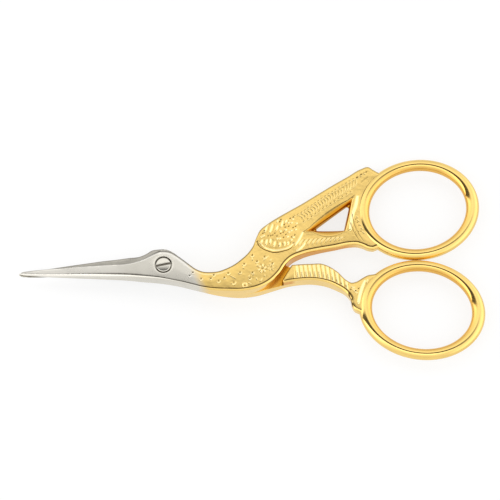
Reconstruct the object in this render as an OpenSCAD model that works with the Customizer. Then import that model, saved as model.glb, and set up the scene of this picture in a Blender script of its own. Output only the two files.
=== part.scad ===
// Stork embroidery scissors, lying flat, blades towards -X and finger bows towards +X.
// The front of the bird faces +Z. The origin is on the pivot axis, at the level of the rear face.
// Each lever is one forging, half as thick as the pair where the two cross at the pivot.

/* [Blades] */
// Length of each blade from the pivot axis to its tip
blade_len = 27.85; // [22:0.05:34]
// Distance from the closing line to the spine of a blade beside the pivot
blade_back = 3.4; // [3:0.05:4]
// Reach of the cutting edge past the closing line at the root of a blade
blade_lap = 1.15; // [0.9:0.05:1.4]
// Thickness that is left at the tip of a blade
tip_t = 0.5; // [0.3:0.05:0.8]
// Slope of the ground bevel, from the flat inner side of a blade
bevel_angle = 59; // [45:1:70]
// Slope of the closing line of the blades, from the X axis
closing_tilt = 3.3; // [2.5:0.1:4]
// Height of the closing line above the pivot axis
closing_rise = 0.4; // [0.2:0.05:0.6]

/* [Levers] */
// Thickness of each lever where the two cross
half_t = 2.6; // [2.2:0.05:3.2]
// Thickness of the tail beside its finger bow
tail_t = 2.4; // [2:0.05:2.6]
// Thickness of the fluted leg
leg_t = 3.6; // [3:0.05:4.2]
// Thickness of the shoulders that carry the finger bows
shoulder_t = 2; // [1.6:0.05:2.2]

/* [Finger bows] */
// Mean diameter of the round stock of a bow
bow_wire_d = 2.35; // [2.2:0.05:3]
// Distance from the pivot axis to the near side of the front bow
front_bow_near = 37.15; // [36.5:0.05:40]
// Long diameter of the middle line of the front bow
front_bow_len = 21.3; // [18:0.1:25]
// Short diameter of the middle line of the front bow
front_bow_w = 18.3; // [16:0.1:21]
// Turn of the front bow about the Z axis
front_bow_tilt = 11; // [5:0.5:15]
// Distance from the pivot axis to the near side of the rear bow
rear_bow_near = 37.5; // [36.5:0.05:40]
// Long diameter of the middle line of the rear bow
rear_bow_len = 21.84; // [19:0.1:25]
// Short diameter of the middle line of the rear bow
rear_bow_w = 17.9; // [16:0.1:21]
// Turn of the rear bow about the Z axis
rear_bow_tilt = -10.5; // [-15:0.5:-5]
// Height above the pivot axis at which the two bows meet
bow_meeting_y = 1.75; // [1.5:0.05:2]

/* [Pivot screw] */
// Diameter of the shank that the front lever turns on
shank_d = 2; // [1.6:0.05:2.4]
// Diameter of the head
head_d = 2.9; // [2.6:0.05:3.2]
// Height of the head
head_h = 0.75; // [0.5:0.05:1]
// Width of the driver slot
slot_w = 0.45; // [0.3:0.05:0.6]
// Depth of the driver slot
slot_depth = 0.4; // [0.2:0.05:0.45]
// Turn of the driver slot about the Z axis
slot_turn = 12; // [0:1:180]

/* [Clearances] */
// Gap between the inner sides of the two levers
inner_gap = 0.04; // [0.02:0.01:0.1]
// Gap on the radius between the shank and the front lever
running_gap = 0.03; // [0.02:0.01:0.08]
// Gap on the radius round the head in its recess
head_gap = 0.22; // [0.1:0.02:0.3]
// Gap between the two bows when the scissors are closed
bow_gap = 0.1; // [0.05:0.05:0.3]
// Gap between the edge of the rear plate and the wing of the front lever
seam_gap = 0.15; // [0.1:0.05:0.3]

/* [Hidden] */
$fn = 64;

steel = "silver";
gold = "goldenrod";

// Levels
total_t = 2 * half_t;
front_inner_z = half_t + inner_gap / 2;
rear_inner_z = half_t - inner_gap / 2;

// Planes where the plated part of a lever begins, and where each finger bow begins
plating_x = 6.5;
front_bow_x = front_bow_near - 0.15;
rear_bow_x = rear_bow_near - 1.5;
// Where the blades begin to thin towards the tip
blade_root_x = -3;
// Where the thick wing begins, where its edge leaves the seam, and where it meets the notch
wing_x = 13.9;
seam_end_x = 23.4;
notch_x = 24;
// Where the leg rises out of the rear plate
leg_root_x = 23;
// Angle at which the ground bevel runs out of the blade at its root
run_out_angle = 27;
// More than the whole object in every direction
reach = 200;

// Steps in each span of a smoothed outline
span_steps = 3;

// Smoothed line through points: each span is a cubic whose end slopes weigh the neighbouring
// chords by their lengths, so that short spans do not overshoot
function slope(a, b, c) =
    let (ab = norm(b - a), bc = norm(c - b)) (b - a) / ab - (c - a) / (ab + bc) + (c - b) / bc;
function cubic(p, q, mp, mq, s) =
    (2 * s * s * s - 3 * s * s + 1) * p + (s * s * s - 2 * s * s + s) * mp
    + (3 * s * s - 2 * s * s * s) * q + (s * s * s - s * s) * mq;
function smooth(p) =
    let (n = len(p))
    [for (i = [0 : n - 2])
        let (d = norm(p[i + 1] - p[i]),
             mp = i == 0 ? (p[1] - p[0]) / d : slope(p[i - 1], p[i], p[i + 1]),
             mq = i == n - 2 ? (p[i + 1] - p[i]) / d : slope(p[i], p[i + 1], p[i + 2]))
        for (k = [0 : span_steps - 1]) cubic(p[i], p[i + 1], d * mp, d * mq, k / span_steps),
     p[n - 1]];
function reversed(p) = [for (i = [len(p) - 1 : -1 : 0]) p[i]];

// Blade outline, given along the closing line from the pivot, as shares of the blade's length
// and of its back or lap. side is 1 on the front lever, whose cutting edge looks to +Y, and -1
// on the rear lever
function blade_point(along, across, side) =
    [-along * cos(closing_tilt) - side * across * sin(closing_tilt),
     closing_rise - along * sin(closing_tilt) + side * across * cos(closing_tilt)];
spine_shares = [[0.03, 1], [0.14, 0.865], [0.263, 0.704], [0.36, 0.614], [0.51, 0.487],
                [0.71, 0.328], [0.887, 0.168], [0.965, 0.07], [1, -0.015]];
edge_shares = [[1, 0.05], [0.985, 0.32], [0.94, 0.52], [0.869, 0.64], [0.725, 0.74],
               [0.6, 0.8], [0.437, 0.92], [0.293, 0.97], [0.24, 1.02]];
function spine(side) =
    [for (p = spine_shares) blade_point(p[0] * blade_len, -p[1] * blade_back, side)];
function edge(side) =
    [for (p = edge_shares) blade_point(p[0] * blade_len, p[1] * blade_lap, side)];

// A finger bow is a round ring drawn out to an oval: [long radius, short radius, turn, centre].
// Its outer side is an oval that is larger by the same share in both directions
function half_width(a, b, turn) = sqrt(pow(a * cos(turn), 2) + pow(b * sin(turn), 2));
function half_height(a, b, turn) = sqrt(pow(a * sin(turn), 2) + pow(b * cos(turn), 2));
function bow(length, width, turn, near, side) =
    let (a = length / 2, b = width / 2, outer = 1 + bow_wire_d / 2 / sqrt(a * b))
    [a, b, turn,
     [near + outer * half_width(a, b, turn),
      bow_meeting_y + side * (bow_gap / 2 + outer * half_height(a, b, turn))]];
front_ring = bow(front_bow_len, front_bow_w, front_bow_tilt, front_bow_near, 1);
rear_ring = bow(rear_bow_len, rear_bow_w, rear_bow_tilt, rear_bow_near, -1);
function ring_point(ring, t) =
    let (u = ring[0] * cos(t), v = ring[1] * sin(t))
    ring[3] + [u * cos(ring[2]) - v * sin(ring[2]), u * sin(ring[2]) + v * cos(ring[2])];

// Front lever: breast and belly, notch over the leg, underside of the tail
front_under = [[3.4, -3.75], [5.9, -4.4], [7.5, -4.8], [9.5, -5.1], [12, -5.22], [15.5, -5.18],
               [17.9, -4.7], [20.2, -3.6], [22.4, -1.45], [23.7, 0.55], [24.5, 1.4],
               [26.8, 2.6], [29.7, 3.4], [32.8, 4], [35.7, 4.6], [front_bow_near, 4.65],
               [front_bow_near + 1.1, 4.35], [front_bow_near + 2.2, 3.85],
               [front_bow_near + 3.2, 3.7]];
// Front lever: corner of the tail, back, neck and pivot boss
front_over = [[front_bow_near + 3.9, 19.4], [front_bow_near + 2.9, 20.05],
              [front_bow_near + 1.9, 20.4], [front_bow_near + 0.6, 19.8], [35.7, 18.5],
              [32.7, 16.7], [29.7, 14.72], [26.8, 12.75], [23.9, 10.95], [22.2, 9.95],
              [20.1, 8.5], [18.6, 7.2], [17.75, 5.4], [17.15, 3.8], [16.1, 2.3], [14.9, 1.15],
              [13.5, 0.06], [12, -0.72], [10.5, -1.27], [9.06, -1.42], [7.6, -1.33],
              [6.1, -0.7], [5.1, 0.05], [3.87, 1.03], [2.6, 1.97], [1.25, 2.72], [0, 2.92],
              [-1.25, 2.76], [-2.4, 2.4], [-3.75, 1.85], [-5.2, 1.5]];
// The middle line of the bow closes the outline of a shoulder
front_arc = [for (t = [222 : -8 : 118]) ring_point(front_ring, t)];
front_lower_line = smooth(concat(reversed(spine(1)), front_under));
front_upper_line = smooth(concat(front_over, reversed(edge(1))));
front_outline = concat(front_lower_line, front_arc, front_upper_line);

// Window between the tail and the body: three corners, each rounded by an arc
window = [[28.75, 7.65], [34.7, 7.75], [35.85, 13.15]];
window_corner_r = 0.35;
function corner_arc(a, b, c, r) =
    let (ba = (a - b) / norm(a - b), bc = (c - b) / norm(c - b), half = acos(ba * bc) / 2,
         centre = b + (ba + bc) / norm(ba + bc) * r / sin(half),
         from = atan2(ba[0], -ba[1]), turn = 180 - 2 * half)
    [for (k = [0 : 4]) centre + r * [cos(from + turn * k / 4), sin(from + turn * k / 4)]];
window_outline = [for (i = [0 : 2]) each corner_arc(window[(i + 2) % 3], window[i],
                                                    window[(i + 1) % 3], window_corner_r)];

// Rear lever: pivot boss and back of the neck, then the edge where the plate meets the wing
rear_over = [[12.3, -0.3], [10.6, -0.75], [9, -0.9], [7.2, -0.5], [5, 0.8], [3.2, 2.3],
             [1.6, 3.45], [0.3, 3.9]];
seam = [[24, 0.5], [21, 1], [18, 0.95], [15, 0.45], [12.3, -0.3]];
// Rear lever: belly, underside of the leg, shoulder of the bow
rear_under = [[-4, -1.5], [-2.15, -1.9], [-0.97, -2.13], [0.3, -2.12], [1.7, -2.2], [3.5, -2.6],
              [5.9, -3.4], [9.1, -4.4], [12, -4.95], [14.9, -5.15], [17.9, -4.8], [20.9, -3.95],
              [23.75, -3.2], [26.25, -2.85], [28.4, -2.75], [31.4, -3.25], [33.2, -4.05],
              [35.1, -5.3], [rear_bow_near - 1.6, -6.4], [rear_bow_near - 1.3, -7.7],
              [rear_bow_near - 0.85, -8.5], [rear_bow_near + 0.2, -9.1]];
// Rear lever: top of the leg, from its bow to its bevelled end in the notch
leg_over = [[rear_bow_near + 3.8, -1.05], [rear_bow_near + 2.8, -1.3],
            [rear_bow_near + 1.9, -1.45], [rear_bow_near + 0.75, -2.05],
            [rear_bow_near - 0.5, -2.85], [rear_bow_near - 1.4, -3.05], [35.2, -2.6],
            [33.4, -0.95], [31.5, 0.2], [30.4, 0.56], [28.4, 0.52], [26.4, 0.43],
            [24.68, 0.3]];
leg_end = [22.8, -2.85];
rear_arc = [for (t = [200 : -8 : 144]) ring_point(rear_ring, t)];
rear_lower_line = smooth(concat(edge(-1), rear_under));
rear_upper_line = smooth(concat(rear_over, spine(-1)));
leg_line = smooth(leg_over);
rear_outline = concat(rear_lower_line, rear_arc, leg_line, smooth(seam), rear_upper_line);
leg_outline = concat([leg_end], [for (p = rear_lower_line) if (p[0] > leg_root_x) p], rear_arc,
                     leg_line);
// The wing is the part of the front lever that has the full thickness of the pair
wing_outline = concat([for (p = reversed(smooth(seam)))
                           if (p[0] > wing_x && p[0] < seam_end_x) p + [0, seam_gap]],
                      [for (p = front_lower_line) if (p[0] > notch_x) p], front_arc,
                      [for (p = front_upper_line) if (p[0] > wing_x) p]);

// Height of the front face over the middle plane, from the breast to the bow, and of the leg
body_side = [[17, half_t], [19, half_t - 0.05], [22, half_t - 0.35], [25, half_t - 0.75],
             [28, tail_t / 2 + 0.3], [31, tail_t / 2 + 0.08], [34, tail_t / 2],
             [front_bow_x, tail_t / 2], [front_bow_x + 2, shoulder_t / 2 + 0.05],
             [front_bow_x + 3, shoulder_t / 2]];
leg_side = [[22, leg_t / 2], [31, leg_t / 2], [33, leg_t / 2 - 0.12],
            [35, leg_t / 2 - 0.45], [rear_bow_x + 1, shoulder_t / 2 + 0.1],
            [rear_bow_x + 2, shoulder_t / 2]];
plate_side = [[17, half_t], [20, half_t - 0.1], [22, half_t - 0.3], [24, leg_t / 2 + 0.15],
              [26, leg_t / 2], [31, leg_t / 2], [33, leg_t / 2 - 0.12],
              [35, leg_t / 2 - 0.45], [rear_bow_x + 1, shoulder_t / 2 + 0.1],
              [rear_bow_x + 2, shoulder_t / 2]];

// Slab that follows a side view: heights are over the middle plane, on the side of face
module side_slab(heights, face) {
    line = concat([[-blade_len, tip_t], [blade_root_x, half_t]], smooth(heights),
                  [[reach, heights[len(heights) - 1][1]]]);
    translate([0, reach / 2, half_t])
        rotate([90, 0, 0])
            linear_extrude(reach)
                polygon(concat([[reach, 0], [-reach, 0], [-reach, face * tip_t]],
                               [for (p = line) [p[0], face * p[1]]]));
}

module flat(points, low, high) {
    translate([0, 0, low])
        linear_extrude(high - low)
            polygon(points);
}

// Ground bevel: what lies outside a plane through the cutting edge, from its root to its tip.
// At the root a second plane leads out of the blade at a small angle
module edge_bevel(side) {
    root = blade_point(edge_shares[8][0] * blade_len, edge_shares[8][1] * blade_lap, side);
    tip = blade_point(edge_shares[1][0] * blade_len, edge_shares[1][1] * blade_lap, side);
    along = tip - root;
    translate([root[0], root[1], half_t + side * inner_gap / 2])
        rotate([0, 0, atan2(along[1], along[0])])
            rotate([bevel_angle - 90, 0, 0])
                linear_extrude(reach, center = true)
                    polygon([[0, 0], [blade_len, 0], [blade_len, -side * reach],
                             [-reach / tan(run_out_angle), -side * reach]]);
}

// Closed oval of round stock
module ring_solid(ring) {
    mean_r = sqrt(ring[0] * ring[1]);
    translate([ring[3][0], ring[3][1], half_t])
        rotate([0, 0, ring[2]])
            scale([ring[0] / mean_r, ring[1] / mean_r, 1])
                rotate_extrude()
                    translate([mean_r, 0])
                        circle(d = bow_wire_d);
}

// All that lies between two planes across the X axis
module between(low, high) {
    translate([low, -reach / 2, -reach / 2])
        cube([high - low, reach, reach]);
}

module front_stock() {
    intersection() {
        flat(front_outline, front_inner_z, total_t);
        side_slab(body_side, 1);
    }
    intersection() {
        flat(wing_outline, 0, front_inner_z);
        union() {
            side_slab(body_side, -1);
            flat(wing_outline, half_t, front_inner_z);
        }
    }
}

module rear_stock() {
    intersection() {
        flat(rear_outline, 0, rear_inner_z);
        side_slab(plate_side, -1);
    }
    intersection() {
        flat(leg_outline, rear_inner_z, total_t);
        union() {
            side_slab(leg_side, 1);
            flat(leg_outline, rear_inner_z, half_t);
        }
    }
}

module front_blade() {
    color(steel)
        difference() {
            intersection() {
                front_stock();
                between(-reach, plating_x);
            }
            edge_bevel(1);
            cylinder(h = total_t + 1, r = shank_d / 2 + running_gap);
            translate([0, 0, total_t - head_h - inner_gap])
                cylinder(h = head_h + 1, r = head_d / 2 + head_gap);
        }
}

module front_body() {
    color(gold)
        difference() {
            intersection() {
                front_stock();
                between(plating_x, front_bow_x);
            }
            flat(window_outline, -1, total_t + 1);
        }
}

module front_bow() {
    color(gold) {
        intersection() {
            front_stock();
            between(front_bow_x, reach);
        }
        ring_solid(front_ring);
    }
}

module rear_blade() {
    color(steel)
        difference() {
            intersection() {
                rear_stock();
                between(-reach, plating_x);
            }
            edge_bevel(-1);
            translate([0, 0, -1])
                cylinder(h = total_t, r = shank_d / 2);
        }
}

module rear_leg() {
    color(gold)
        intersection() {
            rear_stock();
            between(plating_x, rear_bow_x);
        }
}

module rear_bow() {
    color(gold) {
        intersection() {
            rear_stock();
            between(rear_bow_x, reach);
        }
        ring_solid(rear_ring);
    }
}

module pivot_screw() {
    color(steel)
        difference() {
            union() {
                cylinder(h = total_t - head_h / 2, r = shank_d / 2);
                translate([0, 0, total_t - head_h])
                    cylinder(h = head_h, r = head_d / 2);
            }
            rotate([0, 0, slot_turn])
                translate([-head_d, -slot_w / 2, total_t - slot_depth])
                    cube([2 * head_d, slot_w, slot_depth + 1]);
        }
}

front_blade();
front_body();
front_bow();
rear_blade();
rear_leg();
rear_bow();
pivot_screw();
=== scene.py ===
"""Stork embroidery scissors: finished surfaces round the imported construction.

Lengths in this file are in millimetres in the object's own frame, and the meshes are written in
metres. The front of the bird faces +Z, the blades point towards -X and the bows towards +X.
"""
import logging
import math
from dataclasses import dataclass, field
from typing import Callable, Iterator, Sequence

import bmesh
import bpy
import numpy as np
from mathutils import Matrix, Vector
from mathutils.geometry import delaunay_2d_cdt


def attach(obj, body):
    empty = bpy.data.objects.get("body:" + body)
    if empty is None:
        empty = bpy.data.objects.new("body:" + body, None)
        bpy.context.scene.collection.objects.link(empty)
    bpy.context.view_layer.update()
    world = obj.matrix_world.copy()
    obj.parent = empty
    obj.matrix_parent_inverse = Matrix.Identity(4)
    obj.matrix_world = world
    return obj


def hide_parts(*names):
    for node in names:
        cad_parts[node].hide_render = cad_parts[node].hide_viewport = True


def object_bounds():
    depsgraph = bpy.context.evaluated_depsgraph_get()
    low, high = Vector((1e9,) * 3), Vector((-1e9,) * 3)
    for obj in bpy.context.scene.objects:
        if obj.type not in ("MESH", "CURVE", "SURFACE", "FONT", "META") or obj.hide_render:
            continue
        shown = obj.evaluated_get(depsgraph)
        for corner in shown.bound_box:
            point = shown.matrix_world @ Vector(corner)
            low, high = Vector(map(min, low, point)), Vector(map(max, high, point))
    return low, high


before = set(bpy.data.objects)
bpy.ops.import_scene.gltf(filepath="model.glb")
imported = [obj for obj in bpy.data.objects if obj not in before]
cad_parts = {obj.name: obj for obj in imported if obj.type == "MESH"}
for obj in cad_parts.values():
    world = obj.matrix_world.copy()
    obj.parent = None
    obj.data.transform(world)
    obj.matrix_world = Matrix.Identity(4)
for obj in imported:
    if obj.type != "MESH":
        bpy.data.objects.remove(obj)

LOG = logging.getLogger("scissors")
CAD_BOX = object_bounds()
MM = 0.001
VIEW_TILT = math.radians(20)
HALF_T = 2.6
TOP_Z = 2 * HALF_T
INNER_GAP = 0.04
PLATING_X = 6.5

Points = Sequence[tuple[float, float]]
Height = Callable[[np.ndarray], np.ndarray]


# Lines and distances


def smooth_line(points: Points | np.ndarray, step: float = 0.14) -> np.ndarray:
    """Samples a smooth line through given points.

    Each span is a cubic whose end slopes weigh the two neighbouring chords by their lengths:
    slope = first unit chord - chord across both / both lengths + second unit chord.

    Args:
        points: The points, in order.
        step: Longest distance between samples.

    Returns:
        The samples, one row each, from the first point to the last.
    """
    p = np.asarray(points, float)
    chord = np.linalg.norm(np.diff(p, axis=0), axis=1)
    unit = np.diff(p, axis=0) / chord[:, None]
    slope = np.vstack([unit[:1], unit[-1:]])
    if len(p) > 2:
        both = (chord[:-1] + chord[1:])[:, None]
        slope = np.vstack([unit[:1], unit[:-1] - (p[2:] - p[:-2]) / both + unit[1:], unit[-1:]])
    count = np.maximum(1, np.ceil(chord / step)).astype(int)
    span = np.repeat(np.arange(len(chord)), count)
    s = ((np.arange(len(span)) - np.repeat(np.cumsum(count) - count, count)) / count[span])[:, None]
    d = chord[span][:, None]
    line = ((2 * s**3 - 3 * s**2 + 1) * p[span] + (s**3 - 2 * s**2 + s) * d * slope[span]
            + (3 * s**2 - 2 * s**3) * p[span + 1] + (s**3 - s**2) * d * slope[span + 1])
    return np.vstack([line, p[-1]])


def straight_line(points: Points | np.ndarray, step: float = 0.14) -> np.ndarray:
    """Samples straight pieces between points, with equal steps on each piece.

    Args:
        points: The points, in order.
        step: Longest distance between samples.

    Returns:
        The samples, one row each, from the first point to the last.
    """
    p = np.asarray(points, float)
    chord = np.linalg.norm(np.diff(p, axis=0), axis=1)
    count = np.maximum(1, np.ceil(chord / step)).astype(int)
    span = np.repeat(np.arange(len(chord)), count)
    s = ((np.arange(len(span)) - np.repeat(np.cumsum(count) - count, count)) / count[span])[:, None]
    return np.vstack([p[span] + s * (p[span + 1] - p[span]), p[-1]])


def normals_of(loop: np.ndarray) -> np.ndarray:
    """Outward unit normals of a closed loop that has the material on its left.

    Args:
        loop: The loop, two values a point.

    Returns:
        One normal a point.
    """
    along = np.roll(loop, -1, axis=0) - np.roll(loop, 1, axis=0)
    out = np.column_stack([along[:, 1], -along[:, 0]])
    return out / np.maximum(np.linalg.norm(out, axis=1), 1e-9)[:, None]


def measure(points: np.ndarray, line: np.ndarray, closed: bool = False) -> tuple[np.ndarray, ...]:
    """Distance from points to a line, the place on the line, and the side.

    The nearest of the line's own samples is found first, then the two pieces that meet there are
    measured. The side is positive to the left of the line.

    Args:
        points: The points to measure from.
        line: The samples of the line.
        closed: Whether the last sample joins the first.

    Returns:
        Distance, share of the way along the line and signed distance, each one value a point.
    """
    chunk = 4000
    square = np.sum(line**2, axis=1)
    near = np.concatenate([np.argmin(square - 2 * part @ line.T, axis=1)
                           for part in np.array_split(points, len(points) // chunk + 1)])
    last = len(line) - 1
    best = np.full(len(points), np.inf)
    place = np.zeros(len(points))
    side = np.zeros(len(points))
    for start, end in ((near - 1, near), (near, near + 1)):
        if closed:
            start, end = start % len(line), end % len(line)
        else:
            start, end = np.clip(start, 0, last), np.clip(end, 0, last)
        a, b = line[start], line[end]
        ab = b - a
        size = np.maximum(np.sum(ab**2, axis=1), 1e-12)
        t = np.clip(np.sum((points - a) * ab, axis=1) / size, 0, 1)
        gap = points - a - ab * t[:, None]
        distance = np.linalg.norm(gap, axis=1)
        better = distance < best
        best = np.where(better, distance, best)
        place = np.where(better, start + t, place)
        cross = ab[:, 0] * gap[:, 1] - ab[:, 1] * gap[:, 0]
        inside_piece = (t > 0) & (t < 1)
        side = np.where(better & inside_piece, np.sign(cross), np.where(better, 0, side))
    ahead = np.roll(line, -1, axis=0) - np.roll(line, 1, axis=0) if closed else np.gradient(line, axis=0)
    ahead, offset = ahead[near], points - line[near]
    at_corner = np.sign(ahead[:, 0] * offset[:, 1] - ahead[:, 1] * offset[:, 0])
    side = np.where(side == 0, at_corner, side)
    return best, place / max(last, 1), best * side


LATTICE = 64


def grain(points: np.ndarray, size: float, seed: int) -> np.ndarray:
    """Smooth random heights: a lattice of normal values, blended between its corners.

    Args:
        points: Places, two values each.
        size: Width of the lattice's cells.
        seed: Which random lattice it is.

    Returns:
        One height a point.
    """
    table = np.random.default_rng(seed).standard_normal((LATTICE, LATTICE))
    cell = np.floor(points / size).astype(int)
    f = points / size - cell
    f = f * f * (3 - 2 * f)
    i, j = cell[:, 0] % LATTICE, cell[:, 1] % LATTICE
    i2, j2 = (i + 1) % LATTICE, (j + 1) % LATTICE
    low = table[i, j] * (1 - f[:, 0]) + table[i2, j] * f[:, 0]
    high = table[i, j2] * (1 - f[:, 0]) + table[i2, j2] * f[:, 0]
    return low * (1 - f[:, 1]) + high * f[:, 1]


def ramp(value: np.ndarray, start: np.ndarray | float, end: np.ndarray | float) -> np.ndarray:
    """0 up to the start, 1 from the end on, and straight between them; the end may be the lower one."""
    return np.clip((value - start) / (end - start), 0, 1)


# Surfaces


# Masks in order: roughness, painted shade, redder painted shade as of light bounced between gold surfaces,
# and a painted highlight
MASKS = ("polish", "cut", "deep", "painted_light")
SHARP_FROM = math.radians(40)
MERGE_M, DEGENERATE_M, CUT_M = 2e-7, 1e-8, 1e-7


@dataclass
class Shell:
    """A surface that is put together from patches, with one mask value of each kind a corner."""

    points: list[np.ndarray] = field(default_factory=list)
    faces: list[np.ndarray] = field(default_factory=list)
    masks: list[np.ndarray] = field(default_factory=list)

    def add(self, points: np.ndarray, faces: np.ndarray, polish: np.ndarray | float = 1.0,
            cut: np.ndarray | float = 0.0, deep: np.ndarray | float = 0.0,
            painted_light: np.ndarray | float = 0.0) -> None:
        """Adds a patch.

        Args:
            points: Its corners, three values each.
            faces: Its triangles, as corner numbers.
            polish: 1 where the surface is polished, 0 where it is satin, less where it is ground.
            cut: Painted shade: 1 at the bottom of an engraved mark and on painted dark lines, 0 on the
                open surface.
            deep: 1 where the painted shade is redder, as of light bounced between gold surfaces in
                gaps.
            painted_light: 1 where a painted highlight makes raised marks and edges paler.
        """
        start = sum(len(p) for p in self.points)
        self.points.append(points)
        self.faces.append(faces + start)
        masks = np.empty((len(points), len(MASKS)))
        for k, value in enumerate((polish, cut, deep, painted_light)):
            masks[:, k] = value
        self.masks.append(masks)

    def build(self, name: str, low: float = -math.inf, high: float = math.inf) -> bpy.types.Object:
        """Makes the object: joins the patches, cuts them across X and closes each cut.

        Args:
            name: The object's name.
            low: Where the piece begins along X.
            high: Where the piece ends along X.

        Returns:
            The finished object, with its place in its mesh.
        """
        mesh = bpy.data.meshes.new(name)
        faces = np.vstack(self.faces)
        mesh.from_pydata((np.vstack(self.points) * MM).tolist(), [], faces.tolist())
        masks = np.vstack(self.masks)
        for k, label in enumerate(MASKS):
            mesh.attributes.new(label, "FLOAT", "POINT").data.foreach_set("value", masks[:, k].copy())
        bm = bmesh.new()
        bm.from_mesh(mesh)
        bmesh.ops.remove_doubles(bm, verts=bm.verts, dist=MERGE_M)
        bmesh.ops.dissolve_degenerate(bm, edges=bm.edges, dist=DEGENERATE_M)
        bmesh.ops.recalc_face_normals(bm, faces=bm.faces)
        for place, sign in ((low, -1), (high, 1)):
            if math.isfinite(place):
                cut = bmesh.ops.bisect_plane(bm, geom=[*bm.verts, *bm.edges, *bm.faces], dist=CUT_M,
                                             plane_co=(place * MM, 0, 0), plane_no=(sign, 0, 0),
                                             clear_outer=True)["geom_cut"]
                rim = [e for e in cut if isinstance(e, bmesh.types.BMEdge)]
                bmesh.ops.triangle_fill(bm, edges=rim, use_beauty=True)
        bmesh.ops.recalc_face_normals(bm, faces=bm.faces)
        bmesh.ops.triangulate(bm, faces=bm.faces)
        open_edges = sum(1 for e in bm.edges if len(e.link_faces) != 2)
        bm.to_mesh(mesh)
        bm.free()
        mesh.polygons.foreach_set("use_smooth", np.ones(len(mesh.polygons), bool))
        mesh.set_sharp_from_angle(angle=SHARP_FROM)
        obj = bpy.data.objects.new(name, mesh)
        bpy.context.scene.collection.objects.link(obj)
        LOG.info("%s: %d faces, %d open edges", name, len(mesh.polygons), open_edges)
        return obj


def strip(shell: Shell, rows: Sequence[np.ndarray], closed: bool = True,
          cut: float = 0.0, deep: np.ndarray | float = 0.0) -> None:
    """Adds a surface between rows of corners, as a grid of rows by corners of a row.

    Args:
        shell: The surface that it is added to.
        rows: Rows of equal length, each with three values a corner.
        closed: Whether each row's last corner joins its first.
        cut: 1 where it carries painted shade as dark as an engraved mark's.
        deep: 1 where the painted shade is redder, as of light bounced between gold surfaces, one
            value for each corner of a row.
    """
    points = np.concatenate(rows)
    n = len(rows[0])
    first = np.arange(n if closed else n - 1)
    after = (first + 1) % n
    start = (np.arange(len(rows) - 1) * n)[:, None]
    a, b = start + first, start + after
    quads = np.stack([a, b, b + n, a + n], axis=-1).reshape(-1, 4)
    redder = np.tile(np.broadcast_to(deep, n), len(rows))
    shell.add(points, np.vstack([quads[:, [0, 1, 2]], quads[:, [0, 2, 3]]]), 1.0, cut, redder)


def at_height(points: np.ndarray, height: np.ndarray | float) -> np.ndarray:
    """The points with a third value for their height."""
    return np.column_stack([points, np.broadcast_to(height, len(points))])


def wall(loop: np.ndarray, start: np.ndarray | float, end: np.ndarray | float) -> list[np.ndarray]:
    """Rows of a wall from one height to another.

    A second row stands close to each end, so that the marks on a face's edge stay off the wall.

    Args:
        loop: The wall's line, two values a point.
        start: Height where it starts, at each point.
        end: Height where it ends, at each point.

    Returns:
        The rows, three values a point.
    """
    return [at_height(loop, start + share * (end - start)) for share in (0.0, 0.02, 0.98, 1.0)]


@dataclass(frozen=True)
class Field:
    """The stretch of a face that gets inner corners: from low to high along X, step apart."""

    low: float
    high: float
    step: float


def fill(loops: Sequence[np.ndarray], inner: np.ndarray) -> tuple[np.ndarray, np.ndarray]:
    """Fills the area between closed loops with triangles through given inner points.

    Args:
        loops: The outer loop and the holes, two values a point.
        inner: Points inside the area.

    Returns:
        All the points, the loops' first, and the triangles.
    """
    points = np.vstack([*loops, inner]) if len(inner) else np.vstack(loops)
    edges = []
    start = 0
    for loop in loops:
        n = np.arange(len(loop))
        edges.append(np.column_stack([start + n, start + (n + 1) % len(loop)]))
        start += len(loop)
    pairs = np.vstack(edges).tolist()
    found = delaunay_2d_cdt([Vector(p) for p in points.tolist()], pairs, [], 1, 1e-7)
    source = np.array([origin[0] if origin else -1 for origin in found[3]])
    if np.any(source < 0):
        LOG.warning("%d corners were added where edges cross", int(np.sum(source < 0)))
    corners = np.array([tuple(p) for p in found[0]])
    known = source >= 0
    corners[known] = points[source[known]]
    triangles = np.array([f[:3] for f in found[2]])
    middles = corners[triangles].mean(axis=1)
    for hole in loops[1:]:
        outside = measure(middles, hole, closed=True)[2] > 0
        triangles, middles = triangles[outside], middles[outside]
    order = np.where(known, source, len(points) + np.arange(len(source)))
    full = np.vstack([points, np.zeros((len(source), 2))])
    full[order] = corners
    return full, order[triangles]


def grid_points(loops: Sequence[np.ndarray], fields: Sequence[Field], margin: float) -> np.ndarray:
    """Points of a staggered grid that lie inside the loops.

    Args:
        loops: Closed loops with the material on their left.
        fields: Stretches along X with their steps.
        margin: Least distance from the loops, as a number of steps.

    Returns:
        The points.
    """
    outer = loops[0]
    low, high = outer.min(axis=0), outer.max(axis=0)
    kept = []
    for zone in fields:
        xs = np.arange(max(low[0], zone.low), min(high[0], zone.high), zone.step)
        ys = np.arange(low[1], high[1], zone.step * math.sqrt(3) / 2)
        if not len(xs) or not len(ys):
            continue
        x, y = np.meshgrid(xs, ys)
        x = x + (np.arange(len(ys)) % 2)[:, None] * zone.step / 2
        points = np.column_stack([x.ravel(), y.ravel()])
        for loop in loops:
            points = points[measure(points, loop, closed=True)[2] > margin * zone.step]
        kept.append(points)
    return np.vstack(kept)


# Engraving


@dataclass(frozen=True)
class Mark:
    """A kind of engraved stroke.

    Attributes:
        width: Full width in the middle.
        depth: Depth of the cut, or less than 0 for a raised stroke.
        lip: Height of the low ridge beside it.
        taper: Share of the width that is lost at the ends.
    """

    width: float
    depth: float
    lip: float = 0.0
    taper: float = 0.75


SWELL_POWER = 0.6
CUT_POWER = 0.6
LIP_AT, LIP_W = 0.12, 0.13
# Heights and depth from which on a lip or a raised stroke gets its full painted highlight
# and a cut its full painted shade
FULL_LIP, FULL_CUT, FULL_RAISED = 0.08, 0.11, 0.09


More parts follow.
